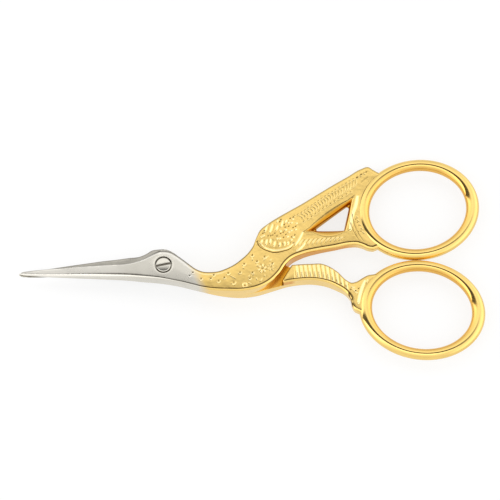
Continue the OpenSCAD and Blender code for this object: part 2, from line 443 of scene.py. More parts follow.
class Relief:
    """Height of an engraved face over its plain form, and its marks' polish, painted shade and highlight.
    """

    def __init__(self, points: np.ndarray) -> None:
        """Starts with a plain face at the given points.

        Args:
            points: The face's corners, two values each.
        """
        self.points = points
        self.height = np.zeros(len(points))
        # cut and dark are painted shade; shine is a painted highlight, which also polishes
        self.cut = np.zeros(len(points))
        self.shine = np.zeros(len(points))
        self.dark = np.zeros(len(points))

    def shade(self, line: np.ndarray, width: float, strength: float) -> None:
        """Darkens the face along a line, also on its rim: strongest on the line, none at width / 2.

        Args:
            line: The line's points.
            width: Width of the dark stretch.
            strength: How dark it is on the line.
        """
        distance = measure(self.points, line)[0]
        share = np.clip(2.2 - 4.4 * distance / width, 0, 1)
        self.dark = np.maximum(self.dark, strength * share)

    def stroke(self, line: np.ndarray, mark: Mark) -> None:
        """Cuts or raises a stroke along a line.

        Across the line it is one period of a cosine. Its width and depth swell from the ends to
        the middle. A lip is a low ridge on the right of the line.

        Args:
            line: The line's points.
            mark: The kind of stroke.
        """
        reach = 1.6 * mark.width + 0.1
        low, high = line.min(axis=0) - reach, line.max(axis=0) + reach
        near = np.flatnonzero(np.all((self.points > low) & (self.points < high), axis=1))
        if not len(near):
            return
        distance, along, side = measure(self.points[near], line)
        swell = 1 - mark.taper + mark.taper * np.sin(np.pi * along) ** SWELL_POWER
        half = mark.width / 2 * swell
        shape = np.where(distance < half, 0.5 + 0.5 * np.cos(np.pi * distance / half), 0)
        self.height[near] -= mark.depth * swell * shape
        if mark.lip:
            ridge = np.exp(-((distance - half - LIP_AT) / LIP_W) ** 2) * (side < 0)
            self.height[near] += mark.lip * swell * ridge
            # A lip gets a painted highlight
            shine = min(1.0, mark.lip / FULL_LIP) * swell * ridge
            self.shine[near] = np.maximum(self.shine[near], shine)
        # The bottom of a cut gets painted shade; a raised stroke gets a painted highlight
        if mark.depth > 0:
            dark = shape**CUT_POWER * min(1.0, mark.depth / FULL_CUT)
            self.cut[near] = np.maximum(self.cut[near], dark)
        else:
            shine = min(1.0, -mark.depth / FULL_RAISED) * shape
            self.shine[near] = np.maximum(self.shine[near], shine)


def in_picture(points: Points | np.ndarray, face: Height) -> np.ndarray:
    """Turns places read square to the view into places on a face.

    The view is tilted from the face by VIEW_TILT about X. A place is measured from the centre of
    the screw's head, right and up in the picture.

    Args:
        points: Places in the picture, in millimetres.
        face: Height of the face.

    Returns:
        The same places as x and y.
    """
    p = np.asarray(points, float)
    drop = TOP_Z - face(p)
    return np.column_stack([p[:, 0], (p[:, 1] + drop * math.sin(VIEW_TILT)) / math.cos(VIEW_TILT)])


MARK_STEP = 0.06

Marks = Iterator[tuple[Points | np.ndarray, Mark]]


def on_face(points: Points | np.ndarray, plain: Height) -> np.ndarray:
    """A smooth line on a face through places read square to the view.

    Args:
        points: The places.
        plain: Height of the face over the middle plane.

    Returns:
        The line's samples.
    """
    return in_picture(smooth_line(points, MARK_STEP), lambda p: HALF_T + plain(p))


def draw_marks(relief: Relief, plain: Height, marks: Marks) -> None:
    """Draws marks whose places are read square to the view.

    Args:
        relief: The relief of the face.
        plain: Height of the face over the middle plane.
        marks: Places and kind of each mark.
    """
    for points, mark in marks:
        relief.stroke(on_face(points, plain), mark)


# Sizes of the two levers


@dataclass(frozen=True)
class Blades:
    """Shape of both blades, measured along the closing line from the pivot.

    Attributes:
        length: From the pivot to the tip.
        back: Distance of the back from the closing line at a share of 1 across.
        lap: The same for the cutting edge.
        tip_t: Thickness of a blade at its tip.
        root_x: Where along X a blade has its full thickness.
        tilt: How far the closing line is turned from the X axis.
        rise: Where along Y it passes the pivot.
        spine_shares: The front blade's back, as shares along and across.
        rear_spine_shares: The rear blade's back, likewise.
        blunt_x: Nearer to the tip than this the inner side has no bevel.
        hollow_share: Depth of the hollow as a share of the thickness.
        hollow_x: Where along X the hollow begins, none and full.
        face_places: The line where the face begins, read square to the view.
        edge_shares: The cutting edge, as shares along and across.
    """

    length: float = 27.85
    back: float = 3.4
    lap: float = 1.15
    tip_t: float = 0.32
    root_x: float = -3.0
    tilt: float = math.radians(3.3)
    rise: float = 0.4
    spine_shares: Points = ((0.03, 1), (0.14, 0.865), (0.263, 0.704), (0.36, 0.614), (0.51, 0.487),
                            (0.71, 0.328), (0.887, 0.168), (0.965, 0.07), (1, -0.015))
    rear_spine_shares: Points = ((0.0284, 1.08), (0.0718, 1.04), (0.112, 0.86), (0.157, 0.715),
                                 (0.24, 0.66), (0.326, 0.6), (0.41, 0.56), (0.51, 0.487),
                                 (0.71, 0.328), (0.887, 0.168), (0.965, 0.07), (1, -0.015))
    blunt_x: float = -26.0
    hollow_share: float = 0.1
    hollow_x: tuple[float, float] = (-4.5, -7.5)
    face_places: Points = ((-0.4, 2.38), (-1.3, 2.03), (-2.4, 1.52), (-4.0, 0.81), (-5.3, 0.4),
                           (-7.2, 0.02), (-10.4, -0.15), (-13.6, -0.35), (-16.8, -0.52),
                           (-19.9, -0.85), (-23.1, -1.13), (-24.4, -1.27), (-27.4, -1.72))
    edge_shares: Points = ((1, 0.05), (0.985, 0.32), (0.94, 0.52), (0.869, 0.64), (0.725, 0.74),
                           (0.6, 0.8), (0.437, 0.92), (0.293, 0.97), (0.24, 1.02))

    def place(self, shares: Points, across: float, side: int) -> np.ndarray:
        """Points of an outline from its shares of the length and of the distance across.

        Args:
            shares: Pairs of a share along the blade and a share across it.
            across: Distance from the closing line at a share of 1 across.
            side: 1 for the front blade, -1 for the rear one.

        Returns:
            The points.
        """
        s = np.asarray(shares, float)
        u, v = s[:, 0] * self.length, s[:, 1] * across
        return np.column_stack([-u * math.cos(self.tilt) - side * v * math.sin(self.tilt),
                                self.rise - u * math.sin(self.tilt) + side * v * math.cos(self.tilt)])

    def spine(self, side: int) -> np.ndarray:
        """The back of a blade, from its root to its tip."""
        shares = self.spine_shares if side > 0 else self.rear_spine_shares
        return self.place(shares, -self.back, side)

    def edge(self, side: int) -> np.ndarray:
        """The cutting edge of a blade, from its tip to its root."""
        return self.place(self.edge_shares, self.lap, side)

    def face_line(self, side: int) -> np.ndarray:
        """The line where a blade's face begins; the rear blade's is the front one's mirror image.

        Args:
            side: 1 for the front blade, -1 for the rear one.

        Returns:
            The line's samples.
        """
        line = smooth_line(self.face_places, 0.2)
        line = in_picture(line, lambda p: HALF_T + self.thickness(p[:, 0]))
        if side < 0:
            across = np.array([-math.sin(self.tilt), math.cos(self.tilt)])
            line = line - 2 * ((line - [0, self.rise]) @ across)[:, None] * across
        return line

    def thickness(self, x: np.ndarray) -> np.ndarray:
        """Height of a blade's face over the middle plane."""
        return np.interp(x, [-self.length, self.root_x], [self.tip_t, HALF_T])

    def hollow(self, points: np.ndarray, side: int) -> np.ndarray:
        """Depth of the hollow in a blade's inner side.

        It is a parabola from the back of the blade to its cutting edge, a share of the thickness
        deep, and it fades towards the pivot.

        Args:
            points: Places on the inner side.
            side: 1 for the front blade, -1 for the rear one.

        Returns:
            Depth at each place.
        """
        back = measure(points, smooth_line(self.spine(side), 0.3))[0]
        edge = measure(points, smooth_line(self.edge(side), 0.3))[0]
        share = back / np.maximum(back + edge, 1e-9)
        fade = ramp(points[:, 0], *self.hollow_x)
        deep = self.hollow_share * self.thickness(points[:, 0])
        return deep * 4 * share * (1 - share) * fade


@dataclass(frozen=True)
class Bow:
    """A finger bow: a closed oval of round stock.

    Attributes:
        length: Length of the middle line.
        width: Width of the middle line.
        turn: How far the oval's length is turned from the X axis.
        near: Where along X the bow begins.
        side: 1 for the bow above, -1 for the one below.
        wire_d: Diameter of the stock.
        gap: Distance between the two bows where they meet.
        meeting_y: Where along Y they meet.
        around: Number of corners along the oval.
        section: Number of corners round the stock.
        inner_red: How much redder painted shade the side of the finger gets, as of light bounced
        inside the bow.
    """

    length: float
    width: float
    turn: float
    near: float
    side: int
    wire_d: float = 2.35
    gap: float = 0.1
    meeting_y: float = 1.75
    around: int = 288
    section: int = 40
    inner_red: float = 0.55

    @property
    def mean_r(self) -> float:
        """Radius of the circle that the oval is drawn out from."""
        return math.sqrt(self.length * self.width) / 2

    @property
    def centre(self) -> np.ndarray:
        """Middle of the oval, from where its outer side begins.

        Returns:
            The middle as x and y.
        """
        a, b, t = self.length / 2, self.width / 2, self.turn
        outer = 1 + self.wire_d / 2 / self.mean_r
        half_x = outer * math.hypot(a * math.cos(t), b * math.sin(t))
        half_y = outer * math.hypot(a * math.sin(t), b * math.cos(t))
        return np.array([self.near + half_x, self.meeting_y + self.side * (self.gap / 2 + half_y)])

    def at(self, angle: np.ndarray, scale: np.ndarray | float = 1.0) -> np.ndarray:
        """Points of the middle line, or of the same oval at another scale.

        Args:
            angle: Angles round the oval.
            scale: Size of the oval, 1 for the middle line.

        Returns:
            The points, two values each.
        """
        u = scale * self.length / 2 * np.cos(angle)
        v = scale * self.width / 2 * np.sin(angle)
        c, s = math.cos(self.turn), math.sin(self.turn)
        return self.centre + np.stack([u * c - v * s, u * s + v * c], axis=-1)

    def build(self, name: str) -> bpy.types.Object:
        """Makes the bow.

        A point at angle t along the oval and f round the stock lies on the oval scaled by
        1 + r cos(f) / mean radius, at the height r sin(f) over its middle plane.

        Args:
            name: The object's name.

        Returns:
            The object.
        """
        r = self.wire_d / 2
        t = np.linspace(0, 2 * np.pi, self.around, endpoint=False)[:, None]
        f = np.linspace(0, 2 * np.pi, self.section, endpoint=False)[None, :]
        flat = self.at(t + 0 * f, 1 + r * np.cos(f + 0 * t) / self.mean_r)
        height = HALF_T + r * np.sin(f + 0 * t)
        grid = np.concatenate([flat, height[..., None]], axis=-1)
        shell = Shell()
        # The side of the finger gets redder painted shade, as of light bounced inside the bow
        strip(shell, [*grid, grid[0]], deep=self.inner_red * np.clip(-np.cos(f[0]), 0, 1))
        return shell.build(name)


BLADES = Blades()
FRONT_BOW = Bow(21.3, 18.3, math.radians(11), 37.15, 1)
REAR_BOW = Bow(21.84, 17.9, math.radians(-10.5), 37.5, -1)


def height_line(points: Points, far: float = 80.0) -> Height:
    """Height of a face over the middle plane as a function of x.

    The blade part rises straight from the tip to its root, the rest is a smooth line.

    Args:
        points: Pairs of x and height behind the blades.
        far: Where the line ends.

    Returns:
        A function from points to heights.
    """
    line = np.vstack([[[-BLADES.length, BLADES.tip_t], [BLADES.root_x, HALF_T]],
                      smooth_line(points, 0.3), [[far, points[-1][1]]]])
    return lambda p: np.interp(p[:, 0], line[:, 0], line[:, 1])


def rim_drop(distance: np.ndarray, width: np.ndarray | float, depth: np.ndarray | float) -> np.ndarray:
    """Drop of a rim at a distance from the wall: a quarter of an oval, width by depth."""
    left = np.clip(1 - distance / width, 0, 1)
    return depth * (1 - np.sqrt(np.maximum(1 - left**2, 0)))


RIM_ANGLES = np.radians([14, 30, 48, 66, 84])
# Most width of a rim, as a share of the thickness, and most drop, of its width and the thickness
RIM_OF_THICK, DROP_OF_RIM, DROP_OF_THICK = 0.9, 0.9, 0.6
# A row's corners are kept where they lie this share of its inset from every wall
ROW_KEPT = 0.97
GROUND_ROW_MIN = 0.05
# The grid begins this share of the rim's width plus so many steps from the wall
GRID_OF_RIM, GRID_FROM_RIM = 0.9, 0.4
# Where there are rows it begins this far inside the rim, and by the window at this share
GRID_FROM_ROWS, GRID_FROM_WINDOW = 0.42, 1.08


@dataclass(frozen=True)
class GroundEdge:
    """The ground side of a blade, between its cutting edge and the line where the face begins.

    Attributes:
        line: The cutting edge, with the stretch of the outline where the ground side runs out.
        face_line: The line where the face begins.
        run_out: Where its foot begins to rise from the inner side, and where it has risen.
        foot: Thickness of the blade at its cutting edge.
        beside: Distances of the rows of corners from the face line.
    """

    line: np.ndarray
    face_line: np.ndarray
    run_out: tuple[float, float] = (-7.5, -0.6)
    foot: float = 0.03
    beside: tuple[float, ...] = (-0.17, -0.04, 0.0, 0.04, 0.17)

    def share(self, points: np.ndarray) -> np.ndarray:
        """How far each point is on its way from the edge to the face: 1 on the face.

        Args:
            points: Places, two values each.

        Returns:
            One share a point.
        """
        to_edge = measure(points, self.line)[0]
        to_face, _, side = measure(points, self.face_line)
        edge_side = measure(self.line[len(self.line) // 2][None], self.face_line)[2][0]
        before = side * edge_side > 0
        return np.where(before, to_edge / np.maximum(to_edge + to_face, 1e-9), 1.0)

    def top(self, points: np.ndarray, inner: float, face: np.ndarray) -> np.ndarray:
        """Height of the ground side: it rises evenly from its foot at the edge to the face.

        Args:
            points: Places, two values each.
            inner: Height of the inner side.
            face: Height of the face at each point.

        Returns:
            Height at each point.
        """
        rise = ramp(points[:, 0], *self.run_out)
        low = inner + self.foot + rise**2 * (face - inner - self.foot)
        return low + (face - low) * self.share(points)

    def rows(self) -> np.ndarray:
        """Points along both sides of the face line, and halfway to the edge.

        Returns:
            The points.
        """
        along = np.gradient(self.face_line, axis=0)
        across = np.column_stack([along[:, 1], -along[:, 0]])
        across /= np.linalg.norm(across, axis=1)[:, None]
        apart = np.linalg.norm(self.face_line[:, None] - self.line[None], axis=2)
        half = (self.face_line + self.line[apart.argmin(axis=1)]) / 2
        beside = [self.face_line + offset * across for offset in self.beside]
        return np.vstack([*beside, half])


@dataclass(frozen=True)
class Window:
    """The three-cornered window: its throat at mid thickness and the wide rounding round it.

    Attributes:
        corners: Corners of the throat, the open side on the left.
        corner_r: Radius in the corners of the throat.
        red_share: Where in the rounding of each side the redder painted shade begins.
        red_w: Over which share it grows.
        red: How strong that painted shade is on each side at the throat.
        ends: Width of the rounding at the ends of each side.
        bulge: How much wider it is in the middle of each side.
        line: How dark the painted shade line is where the rounding of each side begins.
        line_reach: How far from share 1 that line is gone, and how far it is full.
        row_shares: Shares on which rows of corners follow the rounding.
    """

    corners: Points = ((28.75, 7.65), (34.7, 7.75), (35.85, 13.15))
    corner_r: float = 0.35
    red_share: tuple[float, float, float] = (0.95, 0.65, 0.92)
    red_w: float = 0.3
    red: tuple[float, float, float] = (0.5, 0.9, 0.95)
    ends: tuple[float, float, float] = (0.6, 0.6, 0.67)
    bulge: tuple[float, float, float] = (0.9, 0.25, 0.4)
    line: tuple[float, float, float] = (0.55, 0.25, 0.75)
    line_reach: tuple[float, float] = (0.14, 0.04)
    row_shares: tuple[float, ...] = (0.02, 0.08, 0.18, 0.32, 0.5, 0.7, 0.88, 1.0, 1.05)

    @property
    def loop(self) -> np.ndarray:
        """The throat as a hole's loop, with the material on its left."""
        return rounded(np.array(self.corners)[::-1], self.corner_r)

    @property
    def sides(self) -> tuple[np.ndarray, np.ndarray, np.ndarray]:
        """Where each side begins, how far it goes and which way it faces.

        Returns:
            First corner, way to the next corner and unit normal out of the hole, each two values
            a side.
        """
        a = np.array(self.corners)
        ab = np.roll(a, -1, axis=0) - a
        return a, ab, np.column_stack([ab[:, 1], -ab[:, 0]]) / np.linalg.norm(ab, axis=1)[:, None]

    def wide(self, t: np.ndarray) -> np.ndarray:
        """Width of each side's rounding at a share of the way along it."""
        return np.array(self.ends) + np.array(self.bulge) * 4 * t * (1 - t)

    def shares(self, points: np.ndarray) -> np.ndarray:
        """How far each point lies outside each side, as a share of the rounding's width there.

        Args:
            points: Places, two values each.

        Returns:
            Three shares a point: 0 on the throat and 1 where the rounding begins.
        """
        a, ab, out = self.sides
        long = np.linalg.norm(ab, axis=1)
        offset = points[:, None, :] - a[None, :, :]
        t = np.clip(np.sum(offset * (ab / long[:, None]), axis=2) / long, 0, 1)
        return np.sum(offset * out, axis=2) / self.wide(t)

    def drop(self, points: np.ndarray, high: np.ndarray) -> np.ndarray:
        """Drop of the rounding, a quarter oval that is as high as the face is over the throat.

        The share that counts is the largest of the three sides, which keeps the corners pointed.
        """
        return rim_drop(self.shares(points).max(axis=1), 1.0, high)

    def redder(self, shares: np.ndarray) -> np.ndarray:
        """Redder painted shade in the rounding, as of bounced light: more towards the throat.

        Args:
            shares: Three shares a point.

        Returns:
            One value a point, from 0 to 1.
        """
        side = shares.argmax(axis=1)
        start = np.array(self.red_share)[side]
        return np.array(self.red)[side] * ramp(shares.max(axis=1), start, start - self.red_w)

    def border_shade(self, shares: np.ndarray) -> np.ndarray:
        """The dark line round the rounding: strongest where the share is 1."""
        tone = np.array(self.line)[shares.argmax(axis=1)]
        return tone * ramp(np.abs(shares.max(axis=1) - 1.0), *self.line_reach)

    def rows(self) -> np.ndarray:
        """Points on lines of equal share, which follow the rounding.

        Returns:
            The points.
        """
        a, ab, out = self.sides
        t = np.linspace(-0.5, 1.5, 240)[:, None]
        wide = self.wide(np.clip(t, 0, 1))
        kept = []
        for share in self.row_shares:
            for k in range(len(a)):
                row = a[k] + t * ab[k] + share * wide[:, k, None] * out[k]
                kept.append(row[self.shares(row).max(axis=1) < share + 0.004])
        return np.vstack(kept)


@dataclass(frozen=True)
class EdgeLook:
    """Painted shade and painted highlights along a face's edges.

    A pair says where an effect is none and where it is full. Facing is how much a wall faces +Y.

    Attributes:
        upper_facing: Facing of the walls with a painted shade line along their upper edge.
        upper: Distance from the wall for that line.
        lower_facing: Facing of the walls with a painted shade crease line above their rim.
        crease_at: The crease's place, in rim widths from the wall.
        crease: Distance from the crease's middle.
        calm: Distance from the wall, in rim widths, past which the engraving shows.
        calm_facing: Facing below which the engraving also stays past the crease.
        beyond_at: Where the engraving begins there, in rim widths.
        beyond: Distance past that place.
        satin: Distance from the wall, in rim widths, past which the face is satin.
        light_at: Distance from the wall of the painted highlight line round the boss and the neck.
        light: Distance from that line's middle.
        light_facing: Facing of the walls that have it.
        light_from: Where along X it begins.
        light_to: Where along X it ends.
        light_tone: How light it is.
        gap_shade: How dark the painted shade is where it is reddest.
        ground: Share of the way to the face over which the ground side goes over into it.
        ground_to: Where along X the ground side ends.
        ground_shade: How dark the painted shade on the ground side is.
        face_line: Distance from the painted highlight line where a blade's face begins.
        face_line_from: Where along X that line begins.
        face_line_to: Where along X it ends.
        face_line_tone: How light it is.
        blade: Where along X the blade's face grows lighter.
        blade_tone: How light it grows.
    """

    upper_facing: tuple[float, float] = (0.1, 0.5)
    upper: tuple[float, float] = (0.416, 0.156)
    lower_facing: tuple[float, float] = (-0.1, -0.4)
    crease_at: float = 0.97
    crease: tuple[float, float] = (0.176, 0.066)
    calm: tuple[float, float] = (0.3, 0.65)
    calm_facing: float = -0.3
    beyond_at: float = 1.05
    beyond: tuple[float, float] = (0.0, 0.15)
    satin: tuple[float, float] = (0.5, 0.9)
    light_at: float = 0.6
    light: tuple[float, float] = (0.16, 0.06)
    light_facing: tuple[float, float] = (0.2, 0.5)
    light_from: tuple[float, float] = (-4, -2)
    light_to: tuple[float, float] = (14, 10)
    light_tone: float = 0.7
    gap_shade: float = 0.38
    ground: tuple[float, float] = (1.0, 0.92)
    ground_to: tuple[float, float] = (-0.3, -0.8)
    ground_shade: float = 0.3
    face_line: tuple[float, float] = (0.15, 0.05)
    face_line_from: tuple[float, float] = (-26, -21)
    face_line_to: float = -0.4
    face_line_tone: float = 0.9
    blade: tuple[float, float] = (-6, -12)
    blade_tone: float = 0.5


LOOK = EdgeLook()


@dataclass
class Face:
    """An engraved or plain face of a lever, rounded towards its walls.

    Attributes:
        loops: Outline and holes, with the material on the left.
        plain: Height of the plain face over the middle plane.
        inner: Height of the lever's inner side over the middle plane.
        up: 1 for a front face, -1 for a back face.
        fields: Where and how closely the face gets inner corners.
        ground: The ground side of the blade.
        engrave: Draws the engraving on a relief.
        hole_r: Radius of the rim round a plain hole.
        window: The window, whose loop is then the last one.
        rim_w: Width of the rim along the outline, as pairs of x and width.
        rim_d: How far the rim drops.
        edge_tone: How dark the painted shade is along the rim's upper edge, as pairs of x and share.
        crease_tone: How dark the painted shade line is where the face meets the lower rims, likewise.
        dome_h: How much lower the face is beside its rim than in its middle.
        dome_w: How far from the rim the face rises.
        dome_from: Thickness from which on the dome has its full height.
        proud: How far the face may rise over the middle plane.
        coarse_to: Up to which x the face has rows of corners along its creases.
        crease_rows: How far those rows lie inside the rim.
    """

    loops: list[np.ndarray]
    plain: Height
    inner: float
    up: int
    fields: Sequence[Field]
    ground: GroundEdge | None = None
    engrave: Callable[[Relief], None] | None = None
    hole_r: float = 0.06
    window: Window | None = None
    rim_w: Points = ((-28, 0.3), (-20, 0.5), (-14, 0.68), (-5, 0.7), (-1, 0.55), (2, 0.4),
                     (18, 0.42), (23, 0.6), (50, 0.62))
    rim_d: float = 0.42
    edge_tone: Points = ((-6, 0), (-3, 0.9), (15, 0.9), (20, 0.55), (50, 0.5))
    crease_tone: Points = ((-16, 0), (-9, 0.75), (2, 0.85), (9, 1), (50, 1))
    dome_h: float = 0.085
    dome_w: float = 1.5
    dome_from: float = 1.2
    proud: float = HALF_T
    coarse_to: float = 5.03
    crease_rows: tuple[float, ...] = (0.0, 0.14, 0.3)

    @property
    def holes(self) -> list[np.ndarray]:
        """The plain holes."""
        return self.loops[1:-1] if self.window else self.loops[1:]

    def rim(self, points: np.ndarray) -> tuple[np.ndarray, np.ndarray]:
        """Width and drop of the rim, smaller where the stock is thin.

        Args:
            points: Places, two values each.

        Returns:
            Width and drop at each point.
        """
        thick = self.plain(points) - self.inner
        width = np.minimum(np.interp(points[:, 0], *np.array(self.rim_w).T), RIM_OF_THICK * thick)
        return width, np.minimum(np.minimum(self.rim_d, DROP_OF_RIM * width), DROP_OF_THICK * thick)

    def rounded_line(self) -> tuple[np.ndarray, bool]:
        """The outline without its cutting edge, and whether it is still closed.

        Returns:
            The line's samples, and whether it is closed.
        """
        outer = self.loops[0]
        if self.ground is None:
            return outer, True
        sharp = measure(outer, self.ground.line)[0] < 1e-4
        start = int(np.argmax(sharp & ~np.roll(sharp, -1)))
        turned = np.roll(outer, -start, axis=0)
        return turned[~np.roll(sharp, -start)], False

    def top(self, points: np.ndarray) -> np.ndarray:
        """Height over the middle plane without the engraving, rims included.

        Args:
            points: Places, two values each.

        Returns:
            Height at each point.
        """
        line, closed = self.rounded_line()
        near = measure(points, line, closed)[0]
        thick = self.plain(points) - self.inner
        dome = self.dome_h * np.exp(-near / self.dome_w) * ramp(thick, 0, self.dome_from)
        high = self.plain(points) - dome
        top = high - rim_drop(near, *self.rim(points))
        for hole in self.holes:
            near = measure(points, hole, closed=True)[0]
            top = np.minimum(top, high - rim_drop(near, self.hole_r, self.hole_r))
        if self.ground is not None:
            top = np.minimum(top, self.ground.top(points, self.inner, high))
        if self.window is not None:
            top = np.minimum(top, high - self.window.drop(points, high))
        return top

    def border(self, points: np.ndarray) -> np.ndarray:
        """Distance from the outline and the plain holes, less than 0 outside."""
        loops = [self.loops[0], *self.holes]
        return np.min([measure(points, loop, closed=True)[2] for loop in loops], axis=0)

    def inner_points(self) -> np.ndarray:
        """Rows of corners along the rims, and the grid between them.

        Returns:
            The points.
        """
        rows = []
        for k, loop in enumerate([self.loops[0], *self.holes]):
            out = normals_of(loop)
            width = self.rim(loop)[0] if k == 0 else np.full(len(loop), self.hole_r)
            insets = [(width * (1 - math.cos(angle)), math.inf) for angle in RIM_ANGLES]
            insets += [(width + extra, self.coarse_to) for extra in self.crease_rows]
            for inset, reach in insets:
                row = loop - out * inset[:, None]
                rows.append(row[(self.border(row) > ROW_KEPT * inset) & (row[:, 0] < reach)])
        if self.ground is not None:
            row = self.ground.rows()
            rows.append(row[self.border(row) > GROUND_ROW_MIN])
        if self.window is not None:
            rows.append(self.window.rows())
        for zone in self.fields:
            grid = grid_points(self.loops[:1], [zone], 0.5)
            border, rim_w = self.border(grid), self.rim(grid)[0]
            free = border > GRID_OF_RIM * rim_w + GRID_FROM_RIM * zone.step
            free &= (grid[:, 0] > self.coarse_to) | (border > rim_w + GRID_FROM_ROWS)
            if self.window is not None:
                free &= self.window.shares(grid).max(axis=1) > GRID_FROM_WINDOW
            rows.append(grid[free])
        return np.vstack(rows)

    def wall_side(self, points: np.ndarray) -> tuple[np.ndarray, np.ndarray]:
        """Distance from the nearest wall, and how much that wall faces +Y: 1 straight, -1 away.

        Args:
            points: Places, two values each.

        Returns:
            Distance and facing at each point.
        """
        distance, place, _ = measure(points, self.loops[0], closed=True)
        out = normals_of(self.loops[0])
        return distance, out[np.round(place * (len(out) - 1)).astype(int) % len(out), 1]

    def edge_shade(self, points: np.ndarray, distance: np.ndarray, facing: np.ndarray) -> np.ndarray:
        """The dark lines along the upper edges and where the face meets the lower rims.

        Args:
            points: Places on the face.
            distance: Their distance from the nearest wall.
            facing: How much that wall faces +Y.

        Returns:
            How dark each place is, from 0 to 1.
        """
        upper = np.interp(points[:, 0], *np.array(self.edge_tone).T)
        upper = upper * ramp(facing, *LOOK.upper_facing) * ramp(distance, *LOOK.upper)
        lower = np.interp(points[:, 0], *np.array(self.crease_tone).T)
        off = np.abs(distance - LOOK.crease_at * self.rim(points)[0])
        lower = lower * ramp(facing, *LOOK.lower_facing) * ramp(off, *LOOK.crease)
        return np.maximum(upper, lower)

    def add_to(self, shell: Shell) -> list[np.ndarray]:
        """Adds the face to a shell.

        Args:
            shell: The surface that it is added to.

        Returns:
            The heights of the loops' corners over the middle plane, where the walls begin.
        """
        points, triangles = fill(self.loops, self.inner_points())
        top = self.top(points)
        count = sum(len(loop) for loop in self.loops)
        relief = Relief(points)
        border = self.border(points)
        deep = np.zeros(len(points))
        # By the window, the rounding gets redder painted shade, as of light bounced between gold surfaces
        if self.window is not None:
            shares = self.window.shares(points)
            border = np.minimum(border, 0.5 * shares.max(axis=1))
            deep = self.window.redder(shares)
        distance, facing = self.wall_side(points)
        rim_w = self.rim(points)[0]
        calm = ramp(border / rim_w, *LOOK.calm)
        beyond = ramp(distance - LOOK.beyond_at * rim_w, *LOOK.beyond)
        calm = np.where(facing < LOOK.calm_facing, np.minimum(calm, beyond), calm)
        if self.engrave:
            self.engrave(relief)
        height = np.minimum(top + relief.height * calm, self.proud)
        height[:count] = top[:count]
        x = points[:, 0]
        satin = ramp(border / rim_w, *LOOK.satin)
        # Raised marks get a painted highlight and are polished
        painted_light = np.clip(relief.shine, 0, 1) * calm
        polish = np.maximum(1 - satin, painted_light)
        # Painted shade: the bottoms of cuts, the lines along the edges and the shaded stretches
        cut = np.maximum(relief.cut * calm, self.edge_shade(points, distance, facing))
        cut = np.maximum(cut, relief.dark)
        # A painted highlight line round the boss and the neck
        light = ramp(np.abs(distance - LOOK.light_at), *LOOK.light) * ramp(facing, *LOOK.light_facing)
        light *= ramp(x, *LOOK.light_from) * ramp(x, *LOOK.light_to)
        painted_light = np.maximum(painted_light, LOOK.light_tone * light)
        # Painted shade on the line round the window's rounding and in its redder stretches
        if self.window is not None:
            cut = np.maximum(np.maximum(cut, self.window.border_shade(shares)), LOOK.gap_shade * deep)
        if self.ground is not None:
            # The ground side gets painted shade
            off_face = ramp(self.ground.share(points), *LOOK.ground) * ramp(x, *LOOK.ground_to)
            polish = np.where(off_face > 0, 1 - 2 * off_face, polish)
            cut = np.maximum(cut, LOOK.ground_shade * off_face)
            # The line where the blade's face begins gets a painted highlight
            on_line = ramp(measure(points, self.ground.face_line)[0], *LOOK.face_line)
            on_line *= ramp(x, *LOOK.face_line_from) * (x < LOOK.face_line_to)
            painted_light = np.maximum(painted_light, LOOK.face_line_tone * on_line)
            # The blade's face grows paler towards the tip
            painted_light = np.maximum(painted_light, LOOK.blade_tone * ramp(x, *LOOK.blade) * (1 - off_face))
        z = HALF_T + self.up * height
        shell.add(at_height(points, z), triangles, polish, cut, deep, painted_light)
        ends = np.cumsum([0] + [len(loop) for loop in self.loops])
        return [height[a:b] for a, b in zip(ends[:-1], ends[1:])]


# Painted shade on the inner side: where along X the steel's darker shade ends, where the redder shade
# begins, and how strong each is
INNER_STEEL_X = (10, 6)
INNER_RED_X = (18.5, 22.5)
INNER_SHADE, INNER_EDGE_SHADE, INNER_RED = 0.28, 0.85, 0.9
INNER_GOLD_POLISH, INNER_STEEL_POLISH = 0.2, -0.9
INNER_ROW, INNER_ROW_MIN = 0.14, 0.13
INNER_FIELD = Field(-30, -4, 0.3)


def inner_side(shell: Shell, outline: np.ndarray, hole: np.ndarray, level: float, up: int) -> None:
    """Adds the side of a lever that slides on the other one, with the blade's hollow.

    Args:
        shell: The surface that it is added to.
        outline: Its outline.
        hole: The screw's hole in it.
        level: Its height.
        up: 1 where the hollow goes up into the lever, -1 where it goes down.
    """
    beside = outline - INNER_ROW * normals_of(outline)
    beside = beside[measure(beside, outline, closed=True)[2] > INNER_ROW_MIN]
    grid = np.vstack([beside, grid_points([outline], [INNER_FIELD], 0.8)])
    points, triangles = fill([outline, hole], grid)
    depth = BLADES.hollow(points, up)
    depth[:len(outline)] = 0
    steel = ramp(points[:, 0], *INNER_STEEL_X)
    # Painted shade: darker on the steel, darkest along the edge, redder towards the notch
    cut = INNER_SHADE * steel
    cut[:len(outline)] = INNER_EDGE_SHADE * steel[:len(outline)]
    deep = INNER_RED * ramp(points[:, 0], *INNER_RED_X)
    polish = INNER_GOLD_POLISH + (INNER_STEEL_POLISH - INNER_GOLD_POLISH) * steel
    shell.add(at_height(points, level + up * depth), triangles, polish, cut, deep)


def circle(radius: float, count: int = 96) -> np.ndarray:
    """A circle round the pivot axis that runs clockwise, as a hole's loop does."""
    t = -np.linspace(0, 2 * np.pi, count, endpoint=False)
    return radius * np.column_stack([np.cos(t), np.sin(t)])


